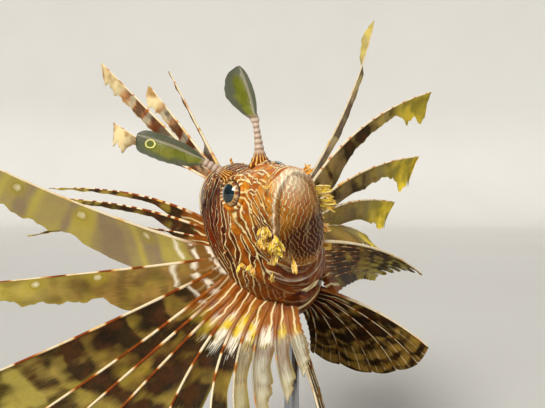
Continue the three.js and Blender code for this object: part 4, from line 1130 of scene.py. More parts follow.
def make_fringes():
    """Lobed flaps: each is a thin sheet that widens from its root, is scalloped along its
    sides, and curls to one side with the square of the distance from its root."""
    random = np.random.default_rng(FRINGE_SEED)
    t = np.linspace(0, 1, FRINGE_ROWS)[None, :, None]
    s, face = sheet_columns(-1, FRINGE_COLUMNS)
    outline = lerp(0.30, 1.0, smoothstep(t, 0.2, 0.7))
    outline = outline * np.sqrt(np.clip(1 - smoothstep(t, 0.78, 1.06), 0.02, 1))
    fringes = Patchwork()
    for tuft in FRINGES:
        each = (tuft.count, 1, 1)
        fan = random.uniform(-0.5, 0.5, tuft.count) * tuft.spread
        tilt = random.uniform(-0.5, 0.5, tuft.count) * FRINGE_TILT
        heading = ray_direction(tuft.rise + fan, tuft.forward + tilt, math.copysign(1.0, tuft.at[0]))
        scatter = random.normal(0, 0.16 * tuft.reach, (tuft.count, 3)) * MM
        spot, outward, _ = spot_on_skin(tuft.at)
        heading = unit(heading + 0.5 * outward)
        root = spot + scatter - heading * ROOT_SINK
        facing = random.normal(size=(tuft.count, 3)) * 0.5 + np.array([0, -1.0, 0.2])
        flat = unit(np.cross(heading, facing))
        normal = np.cross(heading, flat)
        reach = (tuft.reach * MM + ROOT_SINK) * random.uniform(0.65, 1.05, each)
        wide = tuft.wide * MM * random.uniform(0.6, 1.1, each)
        phase = random.uniform(0, 6.28, each)
        scallop = 1 + 0.22 * np.sin(t * 26 + phase + s * 1.5)
        curl = random.uniform(-0.35, 0.5, each)
        cup = random.uniform(-0.3, 0.3, each)
        ahead = (t + 0.10 * np.sin(s * 5 + phase) * t**3) * reach
        beside = s * wide / 2 * outline * scallop
        lifted = curl * reach * t**2 + cup * wide * s**2 * t + face * FRINGE_HALF
        points = root[:, None, None] + ahead[..., None] * heading[:, None, None]
        points = points + beside[..., None] * flat[:, None, None] + lifted[..., None] * normal[:, None, None]
        hue = np.clip(tuft.hue + random.uniform(-0.25, 0.25, each), 0, 1)
        fringes.add(points, capped=True, share=t, across=s, hue=hue)
    return fringes.build("skin_fringes", sharp=60)


# Small bony thorns: place on the left half of the head, and length in millimetres
THORNS = [
    ((0.205, 0.66, -0.02), 2.0), ((0.205, 0.655, -0.10), 1.8), ((0.195, 0.63, -0.18), 1.6),
    ((0.232, 0.86, 0.08), 1.6), ((0.075, 0.31, 0.170), 1.0), ((0.093, 0.52, 0.235), 1.2),
    ((0.100, 0.60, 0.290), 1.5), ((0.110, 0.70, 0.345), 1.5), ((0.165, 0.50, 0.030), 1.0),
    ((0.180, 0.58, 0.010), 1.1), ((0.050, 0.12, 0.090), 0.8), ((0.120, 0.28, 0.09), 0.8),
]
THORN_RADIUS = 0.55 * MM
THORN_ROWS, THORN_SIDES = 9, 12


def make_thorns():
    """Cones that taper by a power of the distance from the root, half way between
    straight out from the skin and straight back along it."""
    t = np.linspace(0, 1, THORN_ROWS)[:, None]
    turn = full_turn(THORN_SIDES)[None, :]
    radius = THORN_RADIUS * (1 - 0.93 * t**1.2)
    thorns = Patchwork()
    for side in (-1, 1):
        for at, length in THORNS:
            spot, outward, backward = spot_on_skin(np.array(at) * np.array([side, 1, 1]))
            heading = unit(0.8 * outward + backward)
            across = unit(np.cross(heading, outward))
            upward = np.cross(across, heading)
            centre = spot - heading * ROOT_SINK + t[..., None] * heading * (length * MM + ROOT_SINK)
            rings = centre + radius[..., None] * circle(turn, across, upward)
            thorns.add(rings, capped=True, share=t)
    return thorns.build("head_thorns")


class Value:
    """What a node puts out. Sums and products of it add the nodes that work them out."""

    def __init__(self, nodes, socket):
        self.nodes = nodes
        self.socket = socket

    def __add__(self, other):
        return self.nodes.math("ADD", self, other)

    def __sub__(self, other):
        return self.nodes.math("SUBTRACT", self, other)

    def __rsub__(self, other):
        return self.nodes.math("SUBTRACT", other, self)

    def __mul__(self, other):
        return self.nodes.math("MULTIPLY", self, other)

    def __truediv__(self, other):
        return self.nodes.math("DIVIDE", self, other)

    def __rtruediv__(self, other):
        return self.nodes.math("DIVIDE", other, self)

    def __abs__(self):
        return self.nodes.math("ABSOLUTE", self)

    __radd__ = __add__
    __rmul__ = __mul__


SURFACE_INPUTS = {
    "colour": "Base Color",
    "roughness": "Roughness",
    "metallic": "Metallic",
    "alpha": "Alpha",
    "specular": "Specular IOR Level",
    "coat": "Coat Weight",
    "coat_roughness": "Coat Roughness",
    "coat_ior": "Coat IOR",
}


class Nodes:
    """Short calls that add nodes to a material or a group and join them up."""

    def __init__(self, tree, material=None):
        self.tree = tree
        self.material = material
        self.count = 0

    def add(self, kind, **settings):
        node = self.tree.nodes.new(kind)
        node.location = (200 * (self.count % 10), -240 * (self.count // 10))
        self.count += 1
        for name, value in settings.items():
            setattr(node, name, value)
        return node

    def feed(self, socket, value):
        """Joins an input to a node's output, or sets it to a number, colour or place."""
        if isinstance(value, Value):
            self.tree.links.new(value.socket, socket)
        elif socket.type == "RGBA":
            socket.default_value = (*value, 1.0)
        else:
            socket.default_value = value

    def outputs(self, node):
        return {socket.name: Value(self, socket) for socket in node.outputs}

    def put(self, kind, inputs, output=0, **settings):
        """Adds a node with inputs by name or number, and returns one output."""
        node = self.add(kind, **settings)
        for key, value in inputs.items():
            self.feed(node.inputs[key], value)
        return Value(self, node.outputs[output])

    def math(self, operation, *values):
        return self.put("ShaderNodeMath", dict(enumerate(values)), operation=operation)

    def largest(self, value, *others):
        for other in others:
            value = self.math("MAXIMUM", value, other)
        return value

    def mix(self, share, first, second):
        """Colour between two."""
        return self.put("ShaderNodeMix", {0: share, 6: first, 7: second}, 2, data_type="RGBA")

    def layers(self, colour, *coats):
        """A colour with others laid over it in turn, each given as (share, colour)."""
        for share, coat in coats:
            colour = self.mix(share, colour, coat)
        return colour

    def blend(self, share, first, second):
        """Number between two."""
        return self.put("ShaderNodeMix", {0: share, 2: first, 3: second}, data_type="FLOAT")

    def number(self, name, output="Fac"):
        return self.put("ShaderNodeAttribute", {}, output, attribute_name=name)

    def numbers(self, *names):
        return [self.number(name) for name in names]

    def vector(self, name):
        return self.number(name, "Vector")

    def place(self):
        return self.put("ShaderNodeTexCoord", {}, "Object")

    def combine(self, x, y, z=0.0):
        return self.put("ShaderNodeCombineXYZ", {0: x, 1: y, 2: z})

    def separate(self, where):
        node = self.add("ShaderNodeSeparateXYZ")
        self.feed(node.inputs[0], where)
        return self.outputs(node).values()

    def noise(self, where, scale, detail=2.0, roughness=0.5):
        given = {"Vector": where, "Scale": scale, "Detail": detail, "Roughness": roughness}
        return self.put("ShaderNodeTexNoise", given, "Fac")

    def step(self, value, low, high):
        """Smooth step of a value from 0 at low to 1 at high."""
        given = {0: value, 1: low, 2: high}
        return self.put("ShaderNodeMapRange", given, interpolation_type="SMOOTHSTEP")

    def bend(self, where, scale, amount):
        """A place moved a little by noise, so that lines on it waver."""
        drift = self.put("ShaderNodeTexNoise", {"Vector": where, "Scale": scale}, "Color")
        centred = self.put("ShaderNodeVectorMath", {0: drift, 1: (0.5, 0.5, 0.5)}, operation="SUBTRACT")
        scaled = self.put("ShaderNodeVectorMath", {0: centred, "Scale": amount}, operation="SCALE")
        return self.put("ShaderNodeVectorMath", {0: where, 1: scaled}, operation="ADD")

    def near(self, value, middle, half, soft):
        """One where a value is within half of the middle, falling to 0 over the soft width."""
        return 1.0 - self.step(abs(value - middle), half - soft / 2, half + soft / 2)

    def stripes(self, where, cell, frequency, direction):
        """How far each point is from the heart of a stripe, from 0 to 1. The stripes lie
        square to the direction, wander, and fork as they would in a real skin."""
        given = {"Vector": where, "Scale": cell, "Frequency": frequency, "Anisotropy": 1.0, 5: direction}
        return self.fold(self.put("ShaderNodeTexGabor", given, "Phase", gabor_type="3D"))

    def maze(self, where, cell, frequency, angle, anisotropy):
        """The same for a maze on the flat of X and Y."""
        given = {"Vector": where, "Scale": cell, "Frequency": frequency, "Anisotropy": anisotropy, 4: angle}
        return self.fold(self.put("ShaderNodeTexGabor", given, "Phase", gabor_type="2D"))

    def fold(self, phase):
        """A phase from 0 to 1 as its distance from one half, doubled."""
        return abs(phase - 0.5) * 2.0

    def group(self, tree, **values):
        """A shared group fed by name, as its outputs by name."""
        node = self.add("ShaderNodeGroup")
        node.node_tree = tree
        for name, value in values.items():
            self.feed(node.inputs[name.replace("_", " ").title()], value)
        return self.outputs(node)

    def grain(self, size):
        """Height and mottle of the fine scales of the skin."""
        made = self.group(scale_grain_group(), place=self.place(), size=size)
        return made["Height"], made["Mottle"]

    def finish(self, relief=None, **looks):
        """Gives the material its surface, with looks by their plain names. Relief is a height
        from 0 to 1 and the depth in metres of the bump that it makes."""
        shader = self.add("ShaderNodeBsdfPrincipled")
        output = self.add("ShaderNodeOutputMaterial")
        self.tree.links.new(shader.outputs[0], output.inputs[0])
        for name, value in looks.items():
            self.feed(shader.inputs[SURFACE_INPUTS[name]], value)
        if relief is not None:
            given = {"Height": relief[0], "Distance": relief[1], "Strength": 1.0}
            self.feed(shader.inputs["Normal"], self.put("ShaderNodeBump", given))
        return self.material


def new_material(name):
    """The calls that fill an empty material."""
    material = bpy.data.materials.new(name)
    material.use_nodes = True
    material.node_tree.nodes.clear()
    return Nodes(material.node_tree, material)


def new_group(name, *inputs):
    """An empty node group and its inputs by name, all numbers but the place."""
    tree = bpy.data.node_groups.new(name, "ShaderNodeTree")
    for label in inputs:
        kind = "NodeSocketVector" if label == "Place" else "NodeSocketFloat"
        tree.interface.new_socket(label, in_out="INPUT", socket_type=kind)
    nodes = Nodes(tree)
    return nodes, nodes.outputs(nodes.add("NodeGroupInput"))


def close_group(nodes, **results):
    """Gives a group its outputs, all numbers."""
    for label in results:
        nodes.tree.interface.new_socket(label, in_out="OUTPUT", socket_type="NodeSocketFloat")
    output = nodes.add("NodeGroupOutput")
    for label, value in results.items():
        nodes.feed(output.inputs[label], value)
    return nodes.tree


@functools.cache
def scale_grain_group():
    """Small scales and pores: a height, and a mottle that changes slowly."""
    nodes, given = new_group("scale_grain", "Place", "Size")
    where = given["Place"]
    bent = nodes.bend(where, 700.0, 0.0004)
    cells = {"Vector": bent, "Scale": given["Size"], "Smoothness": 0.35}
    scales = nodes.put("ShaderNodeTexVoronoi", cells, "Distance", feature="SMOOTH_F1")
    pores = nodes.noise(where, 2600.0)
    return close_group(nodes, Height=pores * 0.35 - scales * 0.8, Mottle=nodes.noise(where, 190.0, 3.0, 0.6))


@functools.cache
def ray_bands_group():
    """Bands along a ray in turn: a mask that is one on the pale bands, with soft uneven ends,
    one for the bands' edges, and the wave that both come from."""
    nodes, given = new_group("ray_bands", "Along", "Ray", "Period", "Pale Share")
    along, ray = given["Along"], given["Ray"]
    drift = nodes.noise(nodes.combine(along * 0.11, ray), 1.0, 1.0)
    turns = along / given["Period"] + drift * 1.6 + ray * 0.35
    wave = nodes.math("SINE", turns * (2 * math.pi))
    over = wave - (1.0 - given["Pale Share"] * 2.0)
    return close_group(
        nodes, Pale=nodes.step(over, -0.25, 0.25), Edge=1.0 - nodes.step(abs(over), 0.05, 0.45), Wave=wave,
    )


@functools.cache
def web_streaks_group():
    """Thin streaks along a web, blotches in part its own and in part shared with its
    neighbours, a cloud that changes slowly, and a warp in millimetres."""
    nodes, given = new_group("web_streaks", "Place", "Along", "Beside", "Ray", "Blotch Size")
    where, along, beside, size = given["Place"], given["Along"], given["Beside"], given["Blotch Size"]
    shifted = given["Ray"] * 7.0
    streak = nodes.noise(nodes.combine(along * 0.10, beside, shifted), 2.6, 2.0, 0.6)
    shared = nodes.noise(where, 1000.0 / size, 2.0, 0.45)
    own = nodes.noise(nodes.combine(along * 0.7, beside * 1.1, shifted), 1.0 / size)
    return close_group(
        nodes, Streak=streak, Blotch=own * 0.8 + shared * 0.55 - 0.175,
        Cloud=nodes.noise(where, 120.0), Warp=(nodes.noise(where, 80.0, 1.0) - 0.5) * 9.0,
    )


# Skin lines: size in millimetres of the cells that they are worked out in, and of the
# maze's cells and the gap between its lines
LINE_CELL = 9.0
MAZE_CELL = 3.0
MAZE_GAP = 1.08
# Bars of the trunk in a head length
TRUNK_BARS = 5.2


def skin_material(colours):
    """Pairs of cream lines round dark cores on golden-brown skin, a maze of fine lines on
    the jaw, and broad bars on the trunk."""
    nodes = new_material("lionfish_skin")
    step, near, mix, noise = nodes.step, nodes.near, nodes.mix, nodes.noise
    where = nodes.place()
    height, mottle = nodes.grain(1150.0)
    core, maze, amber, fine = nodes.numbers("core", "maze", "amber", "fine")
    dark, olive, pale, throat = nodes.numbers("dark", "olive", "pale", "throat")
    steady = 1.0 - fine * 0.8
    wavering = nodes.bend(nodes.bend(where, 150.0, steady * 0.0012), 520.0, steady * 0.0005)
    rough_edge = (noise(where, 900.0) - 0.5) * 0.18
    frequency = LINE_CELL / nodes.number("line_gap")
    stripe = nodes.stripes(wavering, 1000.0 / LINE_CELL, frequency, nodes.vector("line_dir")) + rough_edge
    x, _, z = nodes.separate(nodes.bend(where, 420.0, 0.0012))
    curl = nodes.maze(nodes.combine(x, z), 1000.0 / MAZE_CELL, MAZE_CELL / MAZE_GAP, 0.15, 0.45) + rough_edge

    half = amber * 0.045 + 0.115 - fine * 0.065
    paired = near(stripe, core, half, 0.12)
    # The maze's lines widen where the jaw is pale, which is partly a painted highlight
    curled = near(curl, 0.0, pale * 0.36 + 0.22, 0.32)
    # Where the jaw is dark, which is partly painted shade, its lines fade
    line = nodes.blend(maze, paired, curled) * (1.0 - throat * 0.75) * (1.0 - dark * maze * 0.6)
    # Painted highlight: pale upright streaks over the jaw's maze that stand in for wet gloss
    painted_sheen = step(noise(nodes.combine(x, z * 0.16), 520.0, 1.0), 0.55, 0.66)
    painted_sheen = painted_sheen * maze * (1.0 - pale)
    inside = (1.0 - step(stripe - core, -0.05, 0.02)) * (1.0 - maze)
    inside = inside * (0.85 - amber * 0.60) * (1.0 - throat * 0.8)
    border = nodes.blend(maze, near(stripe, core, 0.165, 0.20), near(curl, 0.0, 0.48, 0.40))
    border = border * (0.60 - amber * 0.30) * (1.0 - maze * 0.75) * (1.0 - throat * 0.8)
    smudge = step(noise(where, 230.0), 0.48, 0.62) * maze

    golden = mix(step(mottle, 0.42, 0.62), colours.orange, colours.amber)
    between = nodes.layers(
        colours.brown,
        (step(mottle, 0.38, 0.60), colours.orange),
        (nodes.largest(amber, maze * 0.9), golden),
        (maze * 0.72, colours.amber),
        (smudge * 0.55, colours.rust),
        (olive * 0.85, colours.olive),
        # dark: the gill cover's own patch, and on the jaw partly painted shade
        (dark * 0.97, mix(fine, colours.maroon, colours.cover)),
        (inside, colours.maroon),
        (border, colours.edge),
    )
    cream = nodes.layers(
        colours.cream,
        (step(mottle, 0.40, 0.75), colours.gold),
        (maze * 0.25, colours.gold),
        (dark * 0.55, colours.dull),
    )
    # pale: the fish's own pale marks, and on the front of the jaw partly a painted highlight
    head = nodes.layers(
        between, (line, cream), (painted_sheen * 0.20, colours.cream), (pale * 0.60, colours.white),
    )

    turns = noise(where, 60.0) * 0.28 + nodes.number("bar")
    wide_bars = nodes.math("SINE", turns * (2 * math.pi * TRUNK_BARS))
    thin_bars = nodes.math("SINE", turns * (4 * math.pi * TRUNK_BARS))
    bar = step(wide_bars + thin_bars * 0.75, -0.35, -0.05)
    trunk = nodes.layers(
        colours.cream,
        (nodes.number("belly"), colours.white),
        (step(mottle, 0.45, 0.8), colours.gold),
        (bar, mix(step(mottle, 0.4, 0.65), colours.maroon, colours.brown)),
        (near(stripe, 0.0, 0.22, 0.2) * 0.5, mix(bar, colours.brown, colours.orange)),
    )
    # The groove value paints shade along the mouth's line in the dark edge colour
    colour = nodes.layers(
        head, (nodes.number("trunk"), trunk), (nodes.number("groove") * 0.35, colours.edge),
    )
    matt = nodes.largest(fine, dark * 0.6)
    return nodes.finish(
        colour=colour, roughness=matt * 0.32 + 0.24 + mottle * 0.22, specular=0.10,
        coat=0.18 - matt * 0.18, coat_roughness=0.12, relief=(line * 0.9 + height * 0.6, 0.00025),
    )


def eye_material(colours):
    """Dark teal pupil, thin gold ring, and a cream iris broken by brown spokes that darken
    to the rim."""
    nodes = new_material("lionfish_eye")
    polar, spokes = nodes.number("polar"), nodes.vector("spokes")
    streak = nodes.noise(spokes, 5.0, 3.0, 0.7)
    patches = nodes.noise(spokes, 2.2, 2.0, 0.6)
    inside = 1.0 - nodes.step(polar, PUPIL_ANGLE - 1.0, PUPIL_ANGLE + 0.5)
    colour = nodes.layers(
        colours.brown,
        (nodes.step(streak, 0.44, 0.56), colours.iris),
        (nodes.step(patches, 0.50, 0.60) * 0.6, colours.brown),
        (nodes.step(polar + streak * 10.0, 50.0, 60.0), colours.edge),
        (nodes.near(polar, PUPIL_ANGLE + 1.8, 0.9, 1.4) * 0.6, colours.gold),
        (inside, nodes.mix(nodes.step(polar, 8.0, PUPIL_ANGLE), colours.pupil, colours.pupil_edge)),
    )
    return nodes.finish(
        colour=colour, roughness=nodes.blend(inside, 0.35, 0.08),
        coat=1.0, coat_roughness=0.03, coat_ior=1.4,
    )


def fringe_material(colours):
    """Bright yellow or orange flaps with paler edges and darker roots."""
    nodes = new_material("lionfish_fringe")
    height, mottle = nodes.grain(1500.0)
    share, across, hue = nodes.numbers("share", "across", "hue")
    colour = nodes.layers(
        colours.yellow,
        (hue, colours.amber),
        (nodes.step(mottle, 0.45, 0.62), colours.gold),
        (nodes.step(abs(across), 0.55, 1.0) * 0.75, colours.cream),
        ((1.0 - nodes.step(share, 0.10, 0.50)) * 0.8, colours.brown),
    )
    return nodes.finish(
        colour=colour, roughness=mottle * 0.2 + 0.36, specular=0.15, coat=0.08,
        relief=(height, 0.00018),
    )


def thorn_material(colours):
    """Cream points on orange-brown roots."""
    nodes = new_material("lionfish_thorn")
    height, mottle = nodes.grain(1700.0)
    pale = nodes.step(nodes.number("share") + mottle * 0.3, 0.5, 0.9)
    colour = nodes.mix(pale, colours.orange, colours.cream)
    return nodes.finish(colour=colour, roughness=mottle * 0.2 + 0.3, relief=(height, 0.0001))


def tentacle_material(colours):
    """Beaded pink-grey stalk that rises out of striped skin, and a yellow-green leaf with a
    clear grey rim, a grey midrib and, where the leaf has it, a ringed spot near its tip."""
    nodes = new_material("lionfish_tentacle")
    step, near, mix, noise = nodes.step, nodes.near, nodes.mix, nodes.noise
    height, mottle = nodes.grain(1300.0)
    share, across, stalk, midrib = nodes.numbers("leaf_share", "across", "stalk", "midrib")
    cloud = noise(nodes.place(), 210.0, 3.0)
    bead = step(nodes.number("beads") + cloud, 0.1, 1.5)
    ribs = nodes.math("SINE", cloud * 7.0 + across * 17.0)
    root = 1.0 - step(nodes.number("share"), 0.06, 0.17)
    hide = mix(step(ribs, 0.25, 0.85), colours.brown, colours.gold)
    stem = nodes.layers(colours.pink, (bead * 0.75, colours.stem), (root, hide))
    wander = (cloud - 0.5) * 0.7
    green = near(midrib + wander, -0.50, 0.48, 0.55)
    tip = step(share + wander, 0.66, 0.95)
    clear = 1.0 - green * (1.0 - tip)
    aside = across * 3.4
    ahead = (share - 0.78) * 17.0
    away = nodes.math("SQRT", aside * aside + ahead * ahead)
    spotted = nodes.number("ocellus")
    colour = nodes.layers(
        colours.leaf,
        (step(cloud, 0.38, 0.62), colours.leaf_pale),
        (clear * 0.92, colours.leaf_rim),
        (near(midrib, 0.0, 0.10, 0.10) * 0.8, colours.grey),
        (step(abs(across), 0.96, 1.0) * 0.5, colours.grey),
        ((1.0 - step(away, 0.8, 1.0)) * spotted, colours.leaf_heart),
        (near(away, 1.1, 0.16, 0.16) * spotted, colours.ring),
        (stalk, stem),
    )
    return nodes.finish(
        colour=colour, roughness=mottle * 0.2 + 0.30, specular=0.12, coat=0.05,
        alpha=nodes.largest(0.97 - clear * 0.16, stalk), relief=(height, 0.00012),
    )


def shaft_material(name, colours, period):
    """Fin rays banded in turn white and red-brown, orange where they meet and at the root.
    The period of the bands is in millimetres."""
    nodes = new_material(name)
    height, mottle = nodes.grain(1600.0)
    share, flesh, frost = nodes.numbers("share", "flesh", "frost")
    along, ray, pale_share = nodes.numbers("along", "ray", "pale_share")
    bands = nodes.group(ray_bands_group(), along=along, ray=ray, period=period, pale_share=pale_share)
    white = nodes.layers(
        colours.shaft, (nodes.step(mottle, 0.50, 0.75), colours.gold), (frost, colours.grey),
    )
    colour = nodes.layers(
        colours.brown,
        (nodes.step(mottle, 0.38, 0.62), colours.red_brown),
        (bands["Pale"], white),
        (bands["Edge"] * 0.45, colours.amber),
        ((1.0 - nodes.step(share - flesh, -0.07, 0.03)) * 0.9, colours.root),
    )
    return nodes.finish(
        colour=colour, roughness=mottle * 0.2 + 0.30, specular=0.15, coat=0.08,
        relief=(height, 0.00010),
    )


# White arcs near the roots of the right pectoral fin, in millimetres along the rays:
# middle, half width and softness
ROOT_ARCS = [(4.6, 1.0, 1.6), (11.6, 0.9, 2.0), (17.6, 0.5, 2.0)]


def web_material(name, colours, look):
    """Thin fin skin: soft zones of two colours, streaks along the rays, dark blotches with
    feathered edges, fleshy striped roots, ringed spots, and pale ragged tips. look names
    its colours and sizes."""
    nodes = new_material(name)
    step, near, mix, noise = nodes.step, nodes.near, nodes.mix, nodes.noise
    tone = {part: getattr(colours, colour) for part, colour in look["colours"].items()}
    dark, bright, arcs, flesh_end, frost, ashen = nodes.numbers(*WEB_VALUES)
    along, beside, ray, across, share = nodes.numbers("along", "beside", "ray", "across", "share")
    flag, spot = nodes.numbers("flag", "spot")
    where = nodes.place()
    grain, mottle = nodes.grain(1400.0)
    made = nodes.group(
        web_streaks_group(), place=where, along=along, beside=beside, ray=ray,
        blotch_size=look["blotch_size"],
    )
    streak, patches, cloud, warp = made["Streak"], made["Blotch"], made["Cloud"], made["Warp"]
    swayed = (along + warp * (1.0 - ashen * 0.7)) * (1.0 - ashen * 0.05)
    wave = nodes.group(
        ray_bands_group(), along=swayed, ray=ray * look["stagger"], period=look["period"], pale_share=0.5,
    )["Wave"]
    drift = cloud - 0.5
    feathered = (streak - 0.5) * 0.16
    zone = step(wave + feathered, -1.0, 1.0)
    # Painted shade: a deep brown strip in the web along the side of each ray
    painted_shaft_shade = near(across, 0.03, 0.04, 0.10) * dark
    twig = nodes.largest(near(across, 0.34, 0.012, 0.05), near(across, 0.68, 0.012, 0.05))
    twig = twig * step(share, 0.30, 0.45)
    base = nodes.layers(
        tone["base"],
        (zone, tone["second"]),
        (step(cloud, 0.36, 0.66) * look["tint_share"], tone["tint"]),
        (step(streak, 0.42, 0.70) * look["streak_share"], tone["streak"]),
        (step(share, 0.50, 0.85) * look["outer_share"], colours.lime),
        (ashen * 0.8, mix(wave * 0.55 + cloud * 0.9, colours.ash, colours.lime)),
        (painted_shaft_shade * 0.6, colours.web_deep),
        (twig * look["twig_share"], colours.cream),
    )
    inner = 0.5 - step(share, 0.45, 0.75)
    over = zone * 0.16 + patches + feathered + inner * dark * 0.13 + dark * 0.14 - look["blotch_level"]
    blotch = step(over, -0.16, 0.12) * step(dark, 0.0, 0.5) * (1.0 - flag)
    deep = mix(step(mottle, 0.40, 0.65), colours.blotch, colours.web_deep)
    ice = nodes.layers(
        colours.frost,
        (step(streak, 0.40, 0.72), colours.grey),
        (step(abs(across - 0.45), 0.10, 0.5) * 0.75, colours.web_olive),
        (blotch * 0.4, colours.brown),
    )
    past = share + drift * 0.30 - flesh_end
    root = 1.0 - step(past, -0.06, 0.04)
    hide = nodes.layers(
        tone["root"],
        (step(patches, 0.42, 0.58), tone["root_dark"]),
        (arcs * 0.7, colours.web_olive),
        (near(drift * 1.2 + across, 0.52, 0.07, 0.16) * (1.0 - arcs), colours.cream),
    )
    # Painted highlight: pale lens-shaped patches in the webs just past the fleshy roots, where bright says
    # so
    painted_highlight = near((streak - 0.5) * 0.35 + past, -0.05, 0.07, 0.12) * bright
    painted_highlight = painted_highlight * near(across, 0.5, 0.32, 0.25)
    shifted = drift * 6.0 + along + warp * 0.45
    arc = nodes.largest(*(near(shifted, *root_arc) for root_arc in ROOT_ARCS)) * arcs
    arc = arc * step(noise(where, 330.0, 1.0), 0.34, 0.52)
    margin = step(across, 0.88, 1.0) * step(share, 0.35, 0.6)
    rag = nodes.layers(
        tone["tip"], (step(cloud, 0.38, 0.62), tone["flag"]), (frost * 0.8, colours.cream),
    )
    colour = nodes.layers(
        base,
        (blotch * look["blotch_share"], deep),
        (frost * 0.9, ice),
        (root * look["root_share"], hide),
        (painted_highlight * 0.92, mix(step(cloud, 0.42, 0.56), colours.white, colours.yellow)),
        (arc * 0.92, colours.white),
        (margin * 0.35, tone["tip"]),
        (flag * 0.9, rag),
        ((1.0 - step(spot, 1.0, 5.0)) * 0.6, colours.web_yellow),
        (near(spot, 1.7, 0.2, 0.8) * 0.28, colours.web_olive),
        ((1.0 - step(spot, 0.1, 1.7)) * 0.6, colours.white),
    )
    solid = nodes.largest(blotch, root, flag)
    return nodes.finish(
        colour=colour, roughness=mottle * 0.2 + 0.36, alpha=nodes.blend(solid, look["alpha"], 1.0),
        specular=0.10, coat=0.05, relief=(streak * 1.1 + grain * 0.4, 0.00016),
    )


# Looks of the fins' webs: colours by part, shares from 0 to 1, blotch size and the period of
# the zones in millimetres, stagger of the zones from ray to ray, and how solid the skin is
WEB_LOOKS = {
    "pectoral": {
        "colours": {
            "base": "web_olive", "second": "tan", "tint": "web_yellow", "streak": "gold",
            "root": "root", "root_dark": "brown", "tip": "web_yellow", "flag": "yellow",
        },
        "tint_share": 0.4, "streak_share": 0.14, "root_share": 0.95, "blotch_share": 0.95,
        "twig_share": 0.0, "outer_share": 0.75, "blotch_size": 9.0, "blotch_level": 0.67,
        "period": 13.0, "stagger": 0.10, "alpha": 0.97,
    },
    "pelvic": {
        "colours": {
            "base": "web_gold", "second": "web_olive", "tint": "tan", "streak": "gold",
            "root": "blotch", "root_dark": "maroon", "tip": "tan", "flag": "tan",
        },
        "tint_share": 0.25, "streak_share": 0.30, "root_share": 0.9, "blotch_share": 0.97,
        "twig_share": 0.7, "outer_share": 0.0, "blotch_size": 4.6, "blotch_level": 0.70,
        "period": 8.0, "stagger": 0.03, "alpha": 0.96,
    },
    "dorsal": {
        "colours": {
            "base": "grey", "second": "orange", "tint": "cream", "streak": "brown",
            "root": "orange", "root_dark": "brown", "tip": "cream", "flag": "tan",
        },
        "tint_share": 0.3, "streak_share": 0.45, "root_share": 0.9, "blotch_share": 0.85,
        "twig_share": 0.0, "outer_share": 0.0, "blotch_size": 5.0, "blotch_level": 0.62,
        "period": 12.0, "stagger": 0.5, "alpha": 0.95,
    },
    "clear": {
        "colours": {
            "base": "clear", "second": "clear_warm", "tint": "clear", "streak": "cream",
            "root": "brown", "root_dark": "maroon", "tip": "clear", "flag": "clear",
        },
        "tint_share": 0.4, "streak_share": 0.3, "root_share": 0.8, "blotch_share": 0.9,
        "twig_share": 0.5, "outer_share": 0.0, "blotch_size": 2.0, "blotch_level": 0.76,
        "period": 5.0, "stagger": 0.2, "alpha": 0.78,
    },
}


def base_material(colours):
    """Black painted metal: faint orange peel, a little dust in the colour and soft gloss."""
    nodes = new_material("stand_black_paint")
    where = nodes.place()
    dust = nodes.noise(where, 35.0, 4.0, 0.6)
    colour = nodes.mix(nodes.step(dust, 0.5, 0.85), colours.paint, colours.paint_dust)
    peel = nodes.noise(where, 900.0)
    return nodes.finish(
        colour=colour, roughness=dust * 0.25 + 0.28, coat=0.2, relief=(peel, 0.00003),
    )


def rod_material(colours):
    """Brushed steel: fine lines round the rod in its colour, roughness and bump."""
    nodes = new_material("stand_brushed_steel")
    x, y, z = nodes.separate(nodes.place())
    brushed = nodes.noise(nodes.combine(x * 30.0, y * 30.0, z * 2200.0), 1.0, 3.0, 0.6)
    colour = nodes.mix(brushed, colours.steel_dark, colours.steel)
    return nodes.finish(
        colour=colour, roughness=brushed * 0.25 + 0.2, metallic=1.0, relief=(brushed, 0.00003),
    )


def floor_material(colours):
    """Matt paper with a faint cloud."""
    nodes = new_material("studio_floor")
    cloud = nodes.noise(nodes.place(), 3.0)
    return nodes.finish(
        colour=nodes.mix(cloud, colours.floor, colours.floor_soft), roughness=0.75,
    )


# Colours of the model as they look on a screen, from 0 to 255
SCREEN_COLOURS = {
    "orange": (184, 96, 18), "brown": (122, 56, 8), "maroon": (60, 10, 4), "amber": (228, 146, 30),
    "olive": (106, 70, 16), "edge": (40, 12, 4), "cream": (255, 234, 176), "gold": (240, 190, 92),
    "white": (255, 246, 222), "dull": (200, 148, 80), "rust": (190, 74, 12), "cover": (122, 40, 6),
    "yellow": (240, 210, 60), "iris": (232, 200, 134), "root": (158, 88, 18), "ash": (146, 128, 100),
    "lime": (180, 166, 80), "web_gold": (138, 106, 38), "web_deep": (58, 26, 8),
    "pupil": (3, 14, 20), "pupil_edge": (10, 42, 48), "pink": (206, 186, 166),
    "stem": (146, 104, 78), "leaf": (104, 108, 24), "leaf_pale": (124, 124, 46),
    "leaf_rim": (86, 90, 72), "leaf_heart": (96, 104, 34), "ring": (240, 232, 140),
    "grey": (160, 152, 128), "shaft": (248, 230, 192), "red_brown": (152, 72, 22),
    "tan": (162, 124, 60), "web_olive": (108, 82, 24), "web_yellow": (168, 150, 44),
    "frost": (204, 200, 180), "blotch": (24, 10, 4), "clear": (208, 194, 160),
    "clear_warm": (200, 170, 120), "paint": (24, 24, 26), "paint_dust": (46, 46, 48),
    "steel": (200, 202, 206), "steel_dark": (140, 142, 148), "floor": (206, 204, 200),
    "floor_soft": (212, 211, 208),
}
COLOURS = {name: srgb(*parts) for name, parts in SCREEN_COLOURS.items()}


def colour_property(label, key, description):
    """A colour that the user can change, with its default from the list."""
    return bpy.props.FloatVectorProperty(
        name=label, description=description, default=COLOURS[key], subtype="COLOR", min=0.0, max=1.0,
    )


